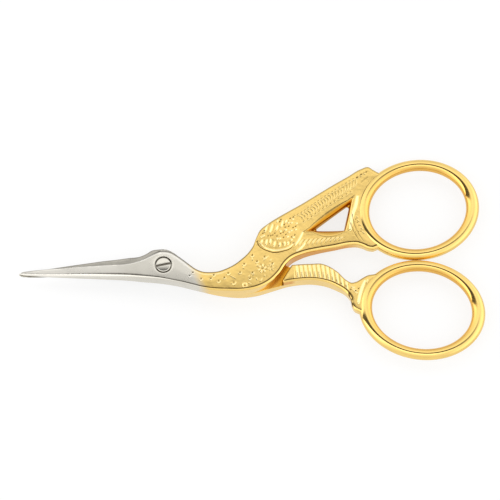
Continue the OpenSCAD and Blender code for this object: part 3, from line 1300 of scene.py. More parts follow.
def rounded(corners: np.ndarray, radius: float) -> np.ndarray:
    """A closed loop of straight sides whose corners are arcs, in the corners' own order.

    Args:
        corners: The corners, in order.
        radius: Radius of the arcs.

    Returns:
        The loop's samples.
    """
    pieces = []
    for k in range(len(corners)):
        a, b, c = corners[k - 1], corners[k], corners[(k + 1) % len(corners)]
        ba, bc = (a - b) / np.linalg.norm(a - b), (c - b) / np.linalg.norm(c - b)
        half = math.acos(float(ba @ bc)) / 2
        middle = b + (ba + bc) / np.linalg.norm(ba + bc) * radius / math.sin(half)
        start = b + ba * radius / math.tan(half)
        first = math.atan2(*(start - middle)[::-1])
        cross = ba[0] * bc[1] - ba[1] * bc[0]
        turn = math.copysign(math.pi - 2 * half, -cross)
        t = first + np.linspace(0, turn, 7)
        pieces.append(middle + radius * np.column_stack([np.cos(t), np.sin(t)]))
    return straight_line(np.vstack([*pieces, pieces[0][:1]]))[:-1]


def closed_loop(pieces: Sequence[np.ndarray], step: float = 0.14) -> np.ndarray:
    """Joins lines into one closed loop of short steps, without repeated points.

    Args:
        pieces: The lines, each of which begins where the one before it ends.
        step: Longest distance between samples.

    Returns:
        The loop's samples.
    """
    joined = np.vstack([*pieces, pieces[0][:1]])
    apart = np.linalg.norm(np.diff(joined, axis=0), axis=1) > 1e-6
    joined = joined[np.concatenate([apart, [True]])]
    return straight_line(joined, step)[:-1]


SEAM = ((24, 0.5), (21, 1), (18, 0.95), (15, 0.45), (12.3, -0.3))
INNER_BEVEL = 0.08
BEVEL_SHARE = 0.4
BEVEL_RUN_OUT = 12


def lever_walls(shell: Shell, outline: np.ndarray, ends: tuple[int, int], face_z: np.ndarray,
                up: int, deep: np.ndarray | float = 0.0) -> np.ndarray:
    """Adds a lever's walls, with a small bevel along the inner side where the two levers meet.

    The bevel runs out over BEVEL_RUN_OUT samples before both ends of the stretch that has none.

    Args:
        shell: The surface that they are added to.
        outline: The lever's outline.
        ends: First and last sample of the stretch of full thickness, which has no bevel.
        face_z: Height of the lever's face at each sample.
        up: 1 for the front lever, -1 for the rear one.
        deep: How much redder painted shade, as of bounced light, each sample gets.

    Returns:
        The edge of the inner side, inside the bevel.
    """
    inner = HALF_T + up * INNER_GAP / 2
    index = np.arange(len(outline))
    outside = (index < ends[0]) | (index > ends[1])
    apart = np.minimum(np.abs(index - ends[0]), np.abs(index - ends[1]))
    ease = ramp(apart, 0, BEVEL_RUN_OUT) * outside * (outline[:, 0] > BLADES.blunt_x)
    bevel = np.minimum(INNER_BEVEL * ease, BEVEL_SHARE * up * (face_z - inner))
    inset = outline - normals_of(outline) * bevel[:, None]
    strip(shell, [*wall(outline, face_z, inner + up * bevel), at_height(inset, inner)], deep=deep)
    return inset


SCREW_HOLE_R = 1.03
RECESS_R = 1.67
RECESS_Z = TOP_Z - 0.79


@dataclass
class FrontLever:
    """The lever that is the bird's lower beak, head, breast, wing and tail, and the upper bow.

    Attributes:
        under: The outline's lower side behind the blade.
        over: Its upper side, from the bow to the blade.
        side: Height of the face over the middle plane, as pairs of x and height.
        seam_gap: Gap over the seam with the leg.
        ground_from_x: Where along X the ground side of the blade ends.
        wing_x: Where along X the wing's border meets the outline's upper side.
        seam_end_x: Where along X that border leaves the seam.
        notch_x: Where along X it meets the outline's lower side, in the notch over the leg.
        bow_arc: Angles of the stretch of the outline that is hidden in the bow.
        fields: Inner corners of the front face.
        wing_fields: Inner corners of the wing's back.
        recess_rim: Radius of the rim round the screw's recess.
        proud: How far the engraving may rise over the boss.
        recess_shade: How dark the painted shade in the recess is.
        window_shade: How dark the painted shade on the window's wall is.
        window_red: How red that painted shade is.
        red_below: The line under which the walls get redder painted shade: its y at notch_x, and its slope.
        red_from: Where along X they begin to be, none and full.
        red_to: Where along X they end, none and full.
    """

    under: Points = ((3.4, -3.75), (5.9, -4.4), (7.5, -4.8), (9.5, -5.1), (12, -5.22),
                     (15.5, -5.18), (17.9, -4.7), (20.2, -3.6), (22.4, -1.45), (23.7, 0.55),
                     (24.5, 1.4), (26.8, 2.6), (29.7, 3.4), (32.8, 4), (35.7, 4.6),
                     (37.15, 4.65), (38.25, 4.35), (39.35, 3.85), (40.35, 3.7))
    over: Points = ((41.3, 19.65), (40.4, 20.2), (39.5, 20.75), (38.0, 20.25), (35.7, 18.8),
                    (32.7, 16.97), (29.7, 15.0), (26.8, 13.02), (23.9, 11.15), (22.2, 10.05),
                    (20.1, 8.55), (18.6, 7.2), (17.75, 5.4), (17.15, 3.8), (16.1, 2.3),
                    (14.9, 1.15), (13.5, 0.06), (12, -0.72), (10.5, -1.27), (9.06, -1.42),
                    (7.6, -1.33), (6.1, -0.7), (5.1, 0.05), (3.87, 1.03), (2.6, 1.97),
                    (1.25, 2.72), (0, 2.92), (-1.25, 2.76), (-2.4, 2.4), (-3.75, 1.85),
                    (-5.2, 1.5))
    side: Points = ((17, 2.6), (19, 2.55), (22, 2.25), (25, 1.85), (28, 1.5), (31, 1.28),
                    (34, 1.2), (37, 1.2), (39, 1.05), (40, 1.0))
    seam_gap: float = 0.15
    ground_from_x: float = -0.6
    wing_x: float = 13.9
    seam_end_x: float = 23.4
    notch_x: float = 24.0
    bow_arc: tuple[float, float] = (222, 118)
    fields: Sequence[Field] = (Field(-30, 4.2, 0.3), Field(4.23, 45, 0.09))
    wing_fields: Sequence[Field] = (Field(10, 45, 0.15),)
    recess_rim: float = 0.12
    proud: float = 0.05
    recess_shade: float = 0.6
    window_shade: float = 0.35
    window_red: float = 0.9
    red_below: tuple[float, float] = (3.2, 0.3)
    red_from: tuple[float, float] = (19.5, 22.5)
    red_to: tuple[float, float] = (38, 35)

    def lines(self) -> tuple[np.ndarray, np.ndarray, np.ndarray]:
        """The lower line, the arc that is hidden in the bow and the upper line.

        Returns:
            The three lines' samples.
        """
        lower = smooth_line(np.vstack([BLADES.spine(1)[::-1], self.under]))
        arc = FRONT_BOW.at(np.radians(np.linspace(*self.bow_arc, 60)))
        upper = smooth_line(np.vstack([self.over, BLADES.edge(1)[::-1]]))
        return lower, arc, upper

    def shell(self) -> Shell:
        """The whole lever but its bow, as one closed surface.

        Returns:
            The lever's surface.
        """
        lower, arc, upper = self.lines()
        outline = closed_loop([lower, arc, upper])
        window = Window()
        plain = height_line(self.side)
        engraving = Engraving(plain)
        after_arc = np.arange(len(outline)) > len(lower) + len(arc)
        ground = GroundEdge(outline[(outline[:, 0] < self.ground_from_x) & after_arc],
                            BLADES.face_line(1))
        shell = Shell()
        front = Face([outline, circle(RECESS_R), window.loop], plain, INNER_GAP / 2, 1,
                     self.fields, ground=ground, coarse_to=self.fields[1].low,
                     engrave=engraving.draw, window=window, hole_r=self.recess_rim,
                     proud=HALF_T + self.proud)
        tops = front.add_to(shell)
        # Where the wing's border meets the outline
        first = int(np.argmax(outline[:, 0] > self.notch_x))
        last = len(outline) - 1 - int(np.argmax((outline[:, 0] > self.wing_x)[::-1]))
        seam = smooth_line(SEAM)[::-1] + [0, self.seam_gap]
        seam = seam[(seam[:, 0] > self.wing_x) & (seam[:, 0] < self.seam_end_x)]
        border = straight_line(np.vstack([outline[last], seam, outline[first]]))[1:-1]
        wing = np.vstack([outline[first:last + 1], border])
        inner = HALF_T + INNER_GAP / 2
        # The walls get redder painted shade in the notch
        inset = lever_walls(shell, outline, (first, last), HALF_T + tops[0], 1, self.redder(outline))
        thin = np.vstack([inset[last:], inset[:first + 1], border[::-1]])
        inner_side(shell, thin, circle(SCREW_HOLE_R), inner, 1)
        # Screw recess and hole, with painted shade on their walls
        recess = circle(RECESS_R)
        strip(shell, [*wall(recess, HALF_T + tops[1], RECESS_Z),
                      *wall(circle(SCREW_HOLE_R), RECESS_Z, inner)], cut=self.recess_shade)
        # Back of the wing
        back = Face([wing, window.loop], plain, -INNER_GAP / 2, -1, self.wing_fields,
                    engrave=engraving.draw, window=window)
        under = back.add_to(shell)
        # The wing's walls get redder painted shade in the notch too
        strip(shell, wall(wing, inner, HALF_T - under[0]), deep=self.redder(wing))
        # The window's wall gets painted shade, redder as of light bounced in it
        strip(shell, wall(window.loop, HALF_T + tops[2], HALF_T - under[1]), cut=self.window_shade,
              deep=self.window_red)
        return shell

    def redder(self, outline: np.ndarray) -> np.ndarray:
        """Redder painted shade on the walls, as of bounced light: more in the notch over the leg.

        Args:
            outline: The outline's samples.

        Returns:
            One value a sample, from 0 to 1.
        """
        x, y = outline.T
        low = y < self.red_below[0] + self.red_below[1] * (x - self.notch_x)
        return low * ramp(x, *self.red_from) * ramp(x, *self.red_to)


@dataclass
class RearLever:
    """The lever that is the upper beak, the plate behind the breast, the leg and the lower bow.

    Attributes:
        over: The outline's upper side, from the seam to the blade.
        under: Its lower side, from the blade to the bow.
        leg_over: The leg's upper side, from the bow to the seam.
        leg_end: Where the border of the leg's front face turns.
        ground_from_x: Where along X the ground side of the blade ends.
        leg_root_x: Where along X the leg begins.
        leg_side: Height of the leg's front face over the middle plane, as pairs of x and height.
        plate_side: Depth of the back face under it, likewise.
        leg_rim_w: Width of the front face's rim, as pairs of x and width.
        leg_crease: How dark the painted shade line over its lower rim is, as pairs of x and share.
        bow_arc: Angles of the stretch of the outline that is hidden in the bow.
        fields: Inner corners of the back face.
        leg_fields: Inner corners of the leg's front face.
        leg_red: How red the painted shade on the leg's wall is at its root.
        leg_red_to: Where along X that begins, none and full, on the way to the root.
    """

    over: Points = ((12.3, -0.3), (10.6, -0.75), (9, -0.9), (7.2, -0.5), (5, 0.8), (3.2, 2.3),
                    (1.6, 3.55), (0.3, 4.05))
    under: Points = ((-4, -1.5), (-2.15, -1.9), (-0.97, -2.13), (0.3, -2.12), (1.7, -2.2),
                     (3.5, -2.6), (5.9, -3.4), (9.1, -4.4), (12, -4.95), (14.9, -5.15),
                     (17.9, -4.8), (20.9, -3.95), (23.75, -3.2), (26.25, -2.85), (28.4, -2.75),
                     (31.4, -3.25), (33.2, -4.05), (35.1, -5.3), (35.9, -6.4), (36.2, -7.7),
                     (36.65, -8.5), (37.7, -9.1))
    leg_over: Points = ((41.3, -1.05), (40.3, -1.3), (39.4, -1.45), (38.25, -2.05), (37, -2.85),
                        (36.1, -3.05), (35.2, -2.6), (33.4, -0.95), (31.5, 0.2), (30.4, 0.56),
                        (28.4, 0.52), (26.4, 0.43), (24.68, 0.3))
    leg_end: tuple[float, float] = (22.8, -2.85)
    ground_from_x: float = -0.6
    leg_root_x: float = 23.0
    leg_side: Points = ((22, 1.8), (31, 1.8), (33, 1.68), (35, 1.35), (37, 1.1), (38, 1.0))
    plate_side: Points = ((17, 2.6), (20, 2.5), (22, 2.3), (24, 1.95), (26, 1.8), (31, 1.8),
                          (33, 1.68), (35, 1.35), (37, 1.1), (38, 1.0))
    leg_rim_w: Points = ((24, 0.38), (31, 0.42), (34.5, 0.6), (40, 0.64))
    leg_crease: Points = ((20, 1), (33, 1), (36, 0.9), (36.8, 0.4), (50, 0.4))
    bow_arc: tuple[float, float] = (200, 144)
    fields: Sequence[Field] = (Field(-30, 5, 0.35), Field(5.03, 24, 0.16), Field(24, 45, 0.11))
    leg_fields: Sequence[Field] = (Field(20, 45, 0.08),)
    leg_red: float = 0.9
    leg_red_to: tuple[float, float] = (25.4, 24.6)

    def shell(self) -> Shell:
        """The whole lever but its bow, as one closed surface.

        Returns:
            The lever's surface.
        """
        lower = smooth_line(np.vstack([BLADES.edge(-1), self.under]))
        arc = REAR_BOW.at(np.radians(np.linspace(*self.bow_arc, 50)))
        leg = smooth_line(self.leg_over)
        upper = smooth_line(np.vstack([self.over, BLADES.spine(-1)]))
        outline = closed_loop([lower, arc, leg, smooth_line(SEAM), upper])
        leg_last = int(np.argmin(np.linalg.norm(outline - np.array(self.leg_over[-1]), axis=1)))
        first = int(np.argmax(outline[:, 0] > self.leg_root_x))
        border = straight_line(np.vstack([outline[leg_last], self.leg_end, outline[first]]))[1:-1]
        leg_loop = np.vstack([outline[first:leg_last + 1], border])
        inner = HALF_T - INNER_GAP / 2
        below = np.arange(len(outline)) < len(lower) // 2
        ground = GroundEdge(outline[(outline[:, 0] < self.ground_from_x) & below],
                            BLADES.face_line(-1))
        plate = height_line(self.plate_side)
        shell = Shell()
        hole = circle(SCREW_HOLE_R)
        back = Face([outline, hole], plate, INNER_GAP / 2, -1,
                    self.fields, ground=ground, engrave=Fluting(plate).draw)
        tops = back.add_to(shell)
        inset = lever_walls(shell, outline, (first, leg_last), HALF_T - tops[0], -1)
        thin = np.vstack([inset[leg_last:], inset[:first + 1], border[::-1]])
        inner_side(shell, thin, hole, inner, -1)
        strip(shell, wall(hole, inner, HALF_T - tops[1]))
        side = height_line(self.leg_side)
        front = Face([leg_loop], side, -INNER_GAP / 2, 1, self.leg_fields,
                     engrave=Fluting(side).draw, rim_w=self.leg_rim_w, crease_tone=self.leg_crease)
        high = front.add_to(shell)
        # The leg's wall gets redder painted shade towards its root
        redder = self.leg_red * ramp(leg_loop[:, 0], *self.leg_red_to)
        strip(shell, wall(leg_loop, inner, HALF_T + high[0]), deep=redder)
        return shell


# Kinds of marks: breast, rosette, tail, web and leg
PIT = Mark(0.32, 0.15, taper=0)
CRESCENT = Mark(0.28, -0.08, taper=0.9)
TUFT = Mark(0.34, -0.05)
RING = Mark(0.26, -0.07, taper=0)
EYE = Mark(0.36, 0.14, taper=0)
BLOSSOM_PETAL = Mark(0.42, -0.08)
BLOSSOM_GAP = Mark(0.26, 0.09)
STAR_RAY = Mark(0.24, -0.06)
STAR_EYE = Mark(0.22, 0.06, taper=0)
ROSETTE_EDGE = Mark(0.34, 0.15, taper=0.35)
ROSETTE_RIDGE = Mark(0.42, -0.1, taper=0.5)
PETAL = Mark(0.5, -0.11, taper=0.5)
PETAL_GAP = Mark(0.2, 0.06)
BEAD = Mark(0.5, -0.09, taper=0)
SPECK = Mark(0.34, 0.14, taper=0)
RIB = Mark(0.62, -0.13, taper=0.4)
DASH = Mark(0.2, 0.08, 0.03)
FAINT_DASH = Mark(0.2, 0.04, 0.03)
DOT = Mark(0.28, 0.1, 0.015, taper=0.2)
FAINT_DOT = Mark(0.28, 0.06, 0.015, taper=0.2)
BARB = Mark(0.26, -0.035)
BARB_GAP = Mark(0.2, 0.04)
QUILL = Mark(0.4, -0.055)
QUILL_GAP = Mark(0.22, 0.045)
TAIL_HOLLOW = Mark(0.6, 0.025)
WEB_BAR = Mark(1.0, -0.14, taper=0.3)
WEB_ARC = Mark(0.24, 0.05)
WEB_NOTCH = Mark(0.28, 0.09)
WEB_TICK = Mark(0.24, -0.05)
LEG_BAR = Mark(0.85, -0.13, taper=0.3)
LEG_LEAF = Mark(0.42, -0.07, taper=0.3)
LEG_DOT = Mark(0.34, 0.13, taper=0)


def dot(u: float, v: float, half_u: float, half_v: float = 0.0) -> Points:
    """Both ends of a stroke that is so short that it makes a dot."""
    return [(u - half_u, v - half_v), (u + half_u, v + half_v)]


def rays(middle: tuple[float, float], turns: np.ndarray, near: float, far: float) -> list[np.ndarray]:
    """Lines that run outward round a place.

    Args:
        middle: The place.
        turns: Angle of each line.
        near: Distance where the lines begin.
        far: Distance where they end.

    Returns:
        Both ends of each line.
    """
    ways = np.column_stack([np.cos(turns), np.sin(turns)])
    return [np.array(middle) + np.outer([near, far], way) for way in ways]


@dataclass(frozen=True)
class Engraving:
    """Pits on the neck, flowers on the breast, the rosette, and the barbs of the tail.

    Places are read square to the view, from the centre of the screw's head, right and up.

    Attributes:
        plain: Height of the face that is engraved.
        pits: Cut dots with painted shade, and a raised crescent under each with a painted highlight:
        place and radius of the crescent.
        tufts: Raised strokes on the breast, from end to end.
        ring: Middle and radius of the ring on the breast.
        blossom: Middle of the larger flower.
        star: Middle of the smaller flower.
        dome: Middle of the rosette's domed ground.
        dome_half: Half its length and half its width.
        dome_h: How high it rises.
        rosette_edge: The groove round the rosette.
        rosette_ridge: The ridge inside that groove.
        petals: Raised petals of the rosette, from end to end.
        beads: Raised dots of the rosette.
        specks: Cut dots of the rosette, with painted shade.
        ribs: Raised diagonal ribs behind the rosette, polished and with a painted highlight, from
        end to end.
        upper_row: The line of dashes along the tail.
        lower_row: The line of dots along the tail.
        tail_dots: Cut dots at the end of the tail, with painted shade.
        tail_hollow: The shallow hollow beside them, with faint painted shade.
        bar: The raised bar beside the window, polished and with a painted highlight.
        arcs: Scale and angles of the arcs round the bow.
        notches: Cuts on the web.
        grain_x: Where along X the face begins to be uneven, and where it is so fully.
        grains: Height, cell size and seed of each layer of unevenness.
    """

    plain: Height
    pits: Sequence[tuple[float, float, float]] = (
        (5.05, -2.1, 0.2), (5.65, -1.5, 0.22), (7.25, -2.7, 0.27), (9.1, -2.6, 0.24),
        (9.65, -1.95, 0.26), (10.6, -3.1, 0.3), (11.7, -2.45, 0.24), (12.45, -1.6, 0.3),
        (13.5, -3.35, 0.38), (14.7, -1.45, 0.28), (15.5, 0.17, 0.33), (17.05, 1.8, 0.28),
        (17.1, -1.5, 0.22), (17.95, 0.62, 0.25), (20.9, 0.3, 0.22), (19.4, 1.5, 0.26),
        (16.6, -2.6, 0.24))
    tufts: Sequence[Points] = (
        ((20.25, 1.6), (19.8, 1.3), (19.2, 0.7)), ((19.0, -2.55), (18.85, -2.9), (18.5, -3.25)),
        ((19.5, -1.95), (19.4, -2.3)), ((17.1, 1.25), (17.1, 0.75)), ((18.1, 0.1), (18.0, -0.4)),
        ((17.45, -1.75), (17.1, -2.15)), ((16.35, -3.5), (16.9, -3.75)),
        ((16.6, -2.1), (16.3, -2.5)), ((17.9, -2.5), (17.95, -3.0)), ((15.35, -0.4), (15.35, -0.85)),
        ((12.9, -2.15), (13.9, -2.75)), ((20.35, 0.6), (20.8, 1.05)))
    ring: tuple[float, float, float] = (15.65, -3.95, 0.42)
    blossom: tuple[float, float] = (18.95, -0.75)
    star: tuple[float, float] = (20.6, -0.5)
    dome: tuple[float, float] = (22.0, 5.95)
    dome_half: tuple[float, float] = (4.3, 3.9)
    dome_h: float = 0.12
    rosette_edge: Points = ((17.94, 4.45), (18.38, 3.6), (19.12, 3.04), (20.08, 2.63), (21.04, 2.36),
                            (22.13, 2.4), (23.25, 2.67), (23.98, 2.88), (24.7, 3.3))
    rosette_ridge: Points = ((18.5, 4.15), (19.35, 3.4), (20.15, 2.98), (21.4, 2.73), (22.6, 2.83),
                             (23.6, 3.1), (24.4, 3.5), (25.1, 4.2))
    petals: Sequence[Points] = (
        ((20.97, 7.8), (20.75, 6.9), (20.42, 6.05)), ((21.98, 7.5), (21.65, 6.5)),
        ((22.95, 8.45), (22.65, 7.15)), ((19.9, 4.8), (19.65, 3.7)), ((21.45, 4.4), (21.2, 3.4)),
        ((20.6, 4.9), (20.5, 3.9)), ((22.4, 4.2), (22.3, 3.4)), ((19.0, 4.75), (18.8, 4.1)),
        ((19.85, 7.3), (19.5, 6.2)), ((23.3, 4.35), (23.25, 3.65)), ((23.95, 4.35), (23.9, 3.75)),
        ((23.7, 8.6), (23.4, 8.0)), ((20.2, 8.1), (19.95, 7.4)), ((22.0, 8.6), (21.8, 8.1)))
    beads: Points = ((22.4, 4.95), (25.0, 5.2), (22.5, 6.35), (24.15, 6.17), (25.45, 6.7),
                     (24.9, 8.7), (24.65, 8.0), (24.6, 4.7), (23.5, 6.6), (24.6, 6.5), (21.9, 4.9),
                     (23.9, 5.3), (25.6, 7.9), (24.0, 8.0), (19.3, 5.5), (18.9, 5.3))
    specks: Points = ((20.6, 5.5), (21.0, 5.65), (21.8, 5.45), (22.5, 5.94), (23.05, 5.2),
                      (23.5, 5.74), (24.6, 5.3), (25.2, 5.67), (24.95, 4.15), (19.35, 6.5),
                      (24.35, 8.9), (24.95, 9.15), (22.55, 8.65), (22.35, 8.25), (23.4, 7.17),
                      (24.05, 7.35), (24.9, 7.1), (25.4, 7.35), (23.2, 7.67), (18.05, 4.5),
                      (21.4, 6.0), (20.1, 5.5), (23.0, 6.2), (19.1, 6.0))
    ribs: Sequence[Points] = (((26.8, 6.25), (26.2, 5.0), (25.35, 3.75)),
                              ((27.2, 4.05), (26.5, 3.3), (25.6, 2.6)))
    upper_row: Points = ((24.9, 9.25), (26.0, 9.75), (28.6, 11.5), (30.9, 13.05), (39.1, 17.95))
    lower_row: Points = ((26.5, 8.1), (28.3, 9.15), (30.0, 10.35), (32.4, 11.9), (36.4, 14.2))
    tail_dots: Points = ((37.35, 16.85), (38.1, 17.4), (39.1, 17.9))
    tail_hollow: Points = ((38.0, 15.7), (38.8, 16.4), (39.5, 16.9))
    bar: Points = ((37.35, 13.1), (37.0, 11.3), (36.4, 9.7), (36.1, 8.1), (35.95, 6.7))
    arcs: Sequence[tuple[float, tuple[float, float]]] = ((1.2, (163, 206)), (1.26, (168, 203)))
    notches: Points = ((36.8, 6.15), (37.5, 6.3), (38.0, 6.4), (37.3, 8.1), (37.6, 7.5), (37.0, 8.7))
    grain_x: tuple[float, float] = (6, 9)
    grains: Sequence[tuple[float, float, int]] = ((0.005, 0.9, 5), (0.003, 0.35, 6))

    def draw(self, relief: Relief) -> None:
        """Draws everything on a face's relief.

        Args:
            relief: The relief of the face.
        """
        zone = ramp(relief.points[:, 0], *self.grain_x)
        for height, size, seed in self.grains:
            relief.height += zone * height * grain(relief.points, size, seed)
        off = (relief.points - in_picture([self.dome], lambda p: HALF_T + self.plain(p))) / self.dome_half
        relief.height += self.dome_h * np.clip(1 - np.sum(off**2, axis=1), 0, 1)
        for marks in (self.breast(), self.rosette(), self.tail(), self.web()):
            draw_marks(relief, self.plain, marks)
        for scale, turn in self.arcs:
            relief.stroke(FRONT_BOW.at(np.radians(np.linspace(*turn, 30)), scale), WEB_ARC)

    def breast(self) -> Marks:
        """Pits with their crescents, a ring and two small flowers.

        Returns:
            Places and kind of each mark.
        """
        t = np.radians(np.linspace(-165, 15, 14))
        crescent = np.column_stack([np.cos(t), np.sin(t)])
        for u, v, radius in self.pits:
            yield [(u - 0.07, v), (u + 0.07, v + 0.03)], PIT
            yield [u, v] + (radius + 0.06) * crescent, CRESCENT
        for line in self.tufts:
            yield line, TUFT
        u, v, radius = self.ring
        t = np.linspace(0, 2 * np.pi, 40)
        yield np.column_stack([u + radius * np.cos(t), v + radius * np.sin(t)]), RING
        yield dot(u + 0.01, v + 0.01, 0.06, 0.01), EYE
        turns = np.radians(np.arange(18, 378, 60))
        for line in rays(self.blossom, turns, 0.3, 0.9):
            yield line, BLOSSOM_PETAL
        for line in rays(self.blossom, turns + 0.52, 0.5, 0.85):
            yield line, BLOSSOM_GAP
        yield dot(*self.blossom, 0.05), SPECK
        for line in rays(self.star, np.radians(np.arange(0, 360, 51.5)), 0.22, 0.72):
            yield line, STAR_RAY
        yield dot(*self.star, 0.05), STAR_EYE

    def rosette(self) -> Marks:
        """The rosette's border, petals and dots, and the ribs behind it.

        Returns:
            Places and kind of each mark.
        """
        yield self.rosette_edge, ROSETTE_EDGE
        yield self.rosette_ridge, ROSETTE_RIDGE
        for line in self.petals:
            yield line, PETAL
            yield np.asarray(line) + [0.42, -0.05], PETAL_GAP
        for u, v in self.beads:
            yield [(u - 0.06, v), (u + 0.06, v + 0.04)], BEAD
        for u, v in self.specks:
            yield dot(u, v, 0.07, 0.02), SPECK
        for line in self.ribs:
            yield line, RIB

    def tail(self) -> Marks:
        """Dashes, dots and curved barbs along the tail, and the quills under the window.

        Returns:
            Places and kind of each mark.
        """
        upper, lower = smooth_line(self.upper_row, 0.05), smooth_line(self.lower_row, 0.05)
        dash, gap = 10, 6
        for start in range(0, len(upper) - dash, dash + gap):
            faint = 31.5 <= upper[start, 0] <= 37
            yield upper[start:start + dash], FAINT_DASH if faint else DASH
        for start in range(8, len(lower) - 6, 18):
            yield lower[start:start + 5], DOT if lower[start, 0] < 33 else FAINT_DOT
        across = np.array([0.25, 0.05])
        for share in np.linspace(0.04, 0.98, 21):
            low = lower[int(share * (len(lower) - 1))]
            high = upper[int((0.02 + 0.93 * share) * 0.93 * (len(upper) - 1))]
            middle = (low + high) / 2 + across
            a, b = low + 0.2 * (high - low), low + 0.82 * (high - low)
            yield [a, middle, b], BARB_GAP
            yield [a + across, middle + 1.1 * across, b + across], BARB
        for k in range(10):
            high = np.array([26.9 + 0.86 * k, 4.85 + 0.05 * k])
            low = high - [0.9, 1.35 - 0.075 * k]
            line = np.array([low, (high + low) / 2 + [-0.1, 0.12], high])
            yield line, QUILL
            yield line + [0.36, -0.06], QUILL_GAP
        for u, v in self.tail_dots:
            yield dot(u, v, 0.1, 0.04), EYE
        yield self.tail_hollow, TAIL_HOLLOW

    def web(self) -> Marks:
        """The bar beside the window, which has a painted highlight, and notches and ticks on the
        web at the bow.

        Returns:
            Places and kind of each mark.
        """
        yield self.bar, WEB_BAR
        for u, v in self.notches:
            yield dot(u, v, 0.15, 0.1), WEB_NOTCH
        for k in range(5):
            high = np.array([37.0 + 0.3 * k, 9.4 - 0.75 * k])
            yield [high, high + [0.5, -0.45]], WEB_TICK


@dataclass(frozen=True)
class Fluting:
    """The row of flutes on the leg, and the marks where the leg meets the lower bow.

    Attributes:
        side: Height of the leg's face.
        bar: The raised bar beside the bow, polished and with a painted highlight, from end to end.
        leaf: Short raised strokes left of the bar.
        dots: Cut dots beside them, with painted shade.
        wedge: The stretch of the leg's lower edge that gets painted shade.
        wedge_w: Its width.
        first_x: Place of a groove at y 0.
        lean: How much the grooves lean against the Y axis.
        pitch: Distance between the grooves.
        depth: Depth of the grooves.
        dark_from: Share of the depth below which a groove gets painted shade.
        ridge_to: Share of the depth up to which a ridge is shiny.
        ridge_shine: How shiny it is: polished, with a painted highlight.
        flutes_from: Where along X the flutes begin, none and full.
        flutes_to: Where along X they end, none and full.
    """

    side: Height
    bar: Points = ((38.7, -3.1), (38.1, -4.6), (37.7, -5.9), (37.4, -7.4))
    leaf: Sequence[Points] = (((36.1, -4.25), (36.7, -4.4)), ((36.3, -4.65), (37.1, -4.95)),
                              ((36.6, -5.05), (37.3, -5.5)), ((39.3, -2.8), (39.0, -3.5)),
                              ((35.1, -3.8), (35.5, -4.0)), ((38.45, -6.1), (38.35, -7.3)))
    dots: Points = ((37.47, -4.59), (36.93, -4.98), (36.0, -4.75))
    wedge: Points = ((35.62, -5.5), (35.8, -6.3), (36.1, -7.2), (36.35, -8.0))
    wedge_w: float = 0.42
    first_x: float = 25.2
    lean: float = 0.12
    pitch: float = 0.83
    depth: float = 0.16
    dark_from: float = 0.5
    ridge_to: float = 1 / 2.2
    ridge_shine: float = 0.75
    flutes_from: tuple[float, float] = (25.0, 25.3)
    flutes_to: tuple[float, float] = (35.9, 35.6)

    def marks(self) -> Marks:
        """The bar, the leaf and the dots at the lower bow.

        Returns:
            Places and kind of each mark.
        """
        yield self.bar, LEG_BAR
        for line in self.leaf:
            yield line, LEG_LEAF
        for u, v in self.dots:
            yield dot(u, v, 0.07), LEG_DOT

    def draw(self, relief: Relief) -> None:
        """Draws the marks and the flutes, which are rounded ridges with sharp grooves between them.

        Args:
            relief: The relief of the face.
        """
        draw_marks(relief, self.side, self.marks())
        # The wedge gets painted shade
        relief.shade(on_face(self.wedge, self.side), self.wedge_w, 1.0)
        x, y = relief.points.T
        phase = (x - self.first_x + self.lean * y) / self.pitch
        zone = ramp(x, *self.flutes_from) * ramp(x, *self.flutes_to)
        groove = 1 - np.abs(np.sin(np.pi * phase))
        relief.height -= self.depth * zone * groove
        # Painted shade in the grooves and a painted highlight on the ridges
        relief.cut = np.maximum(relief.cut, zone * np.clip(groove - self.dark_from, 0, 1))
        ridge = np.clip(1 - groove / self.ridge_to, 0, 1)
        relief.shine = np.maximum(relief.shine, self.ridge_shine * zone * ridge)


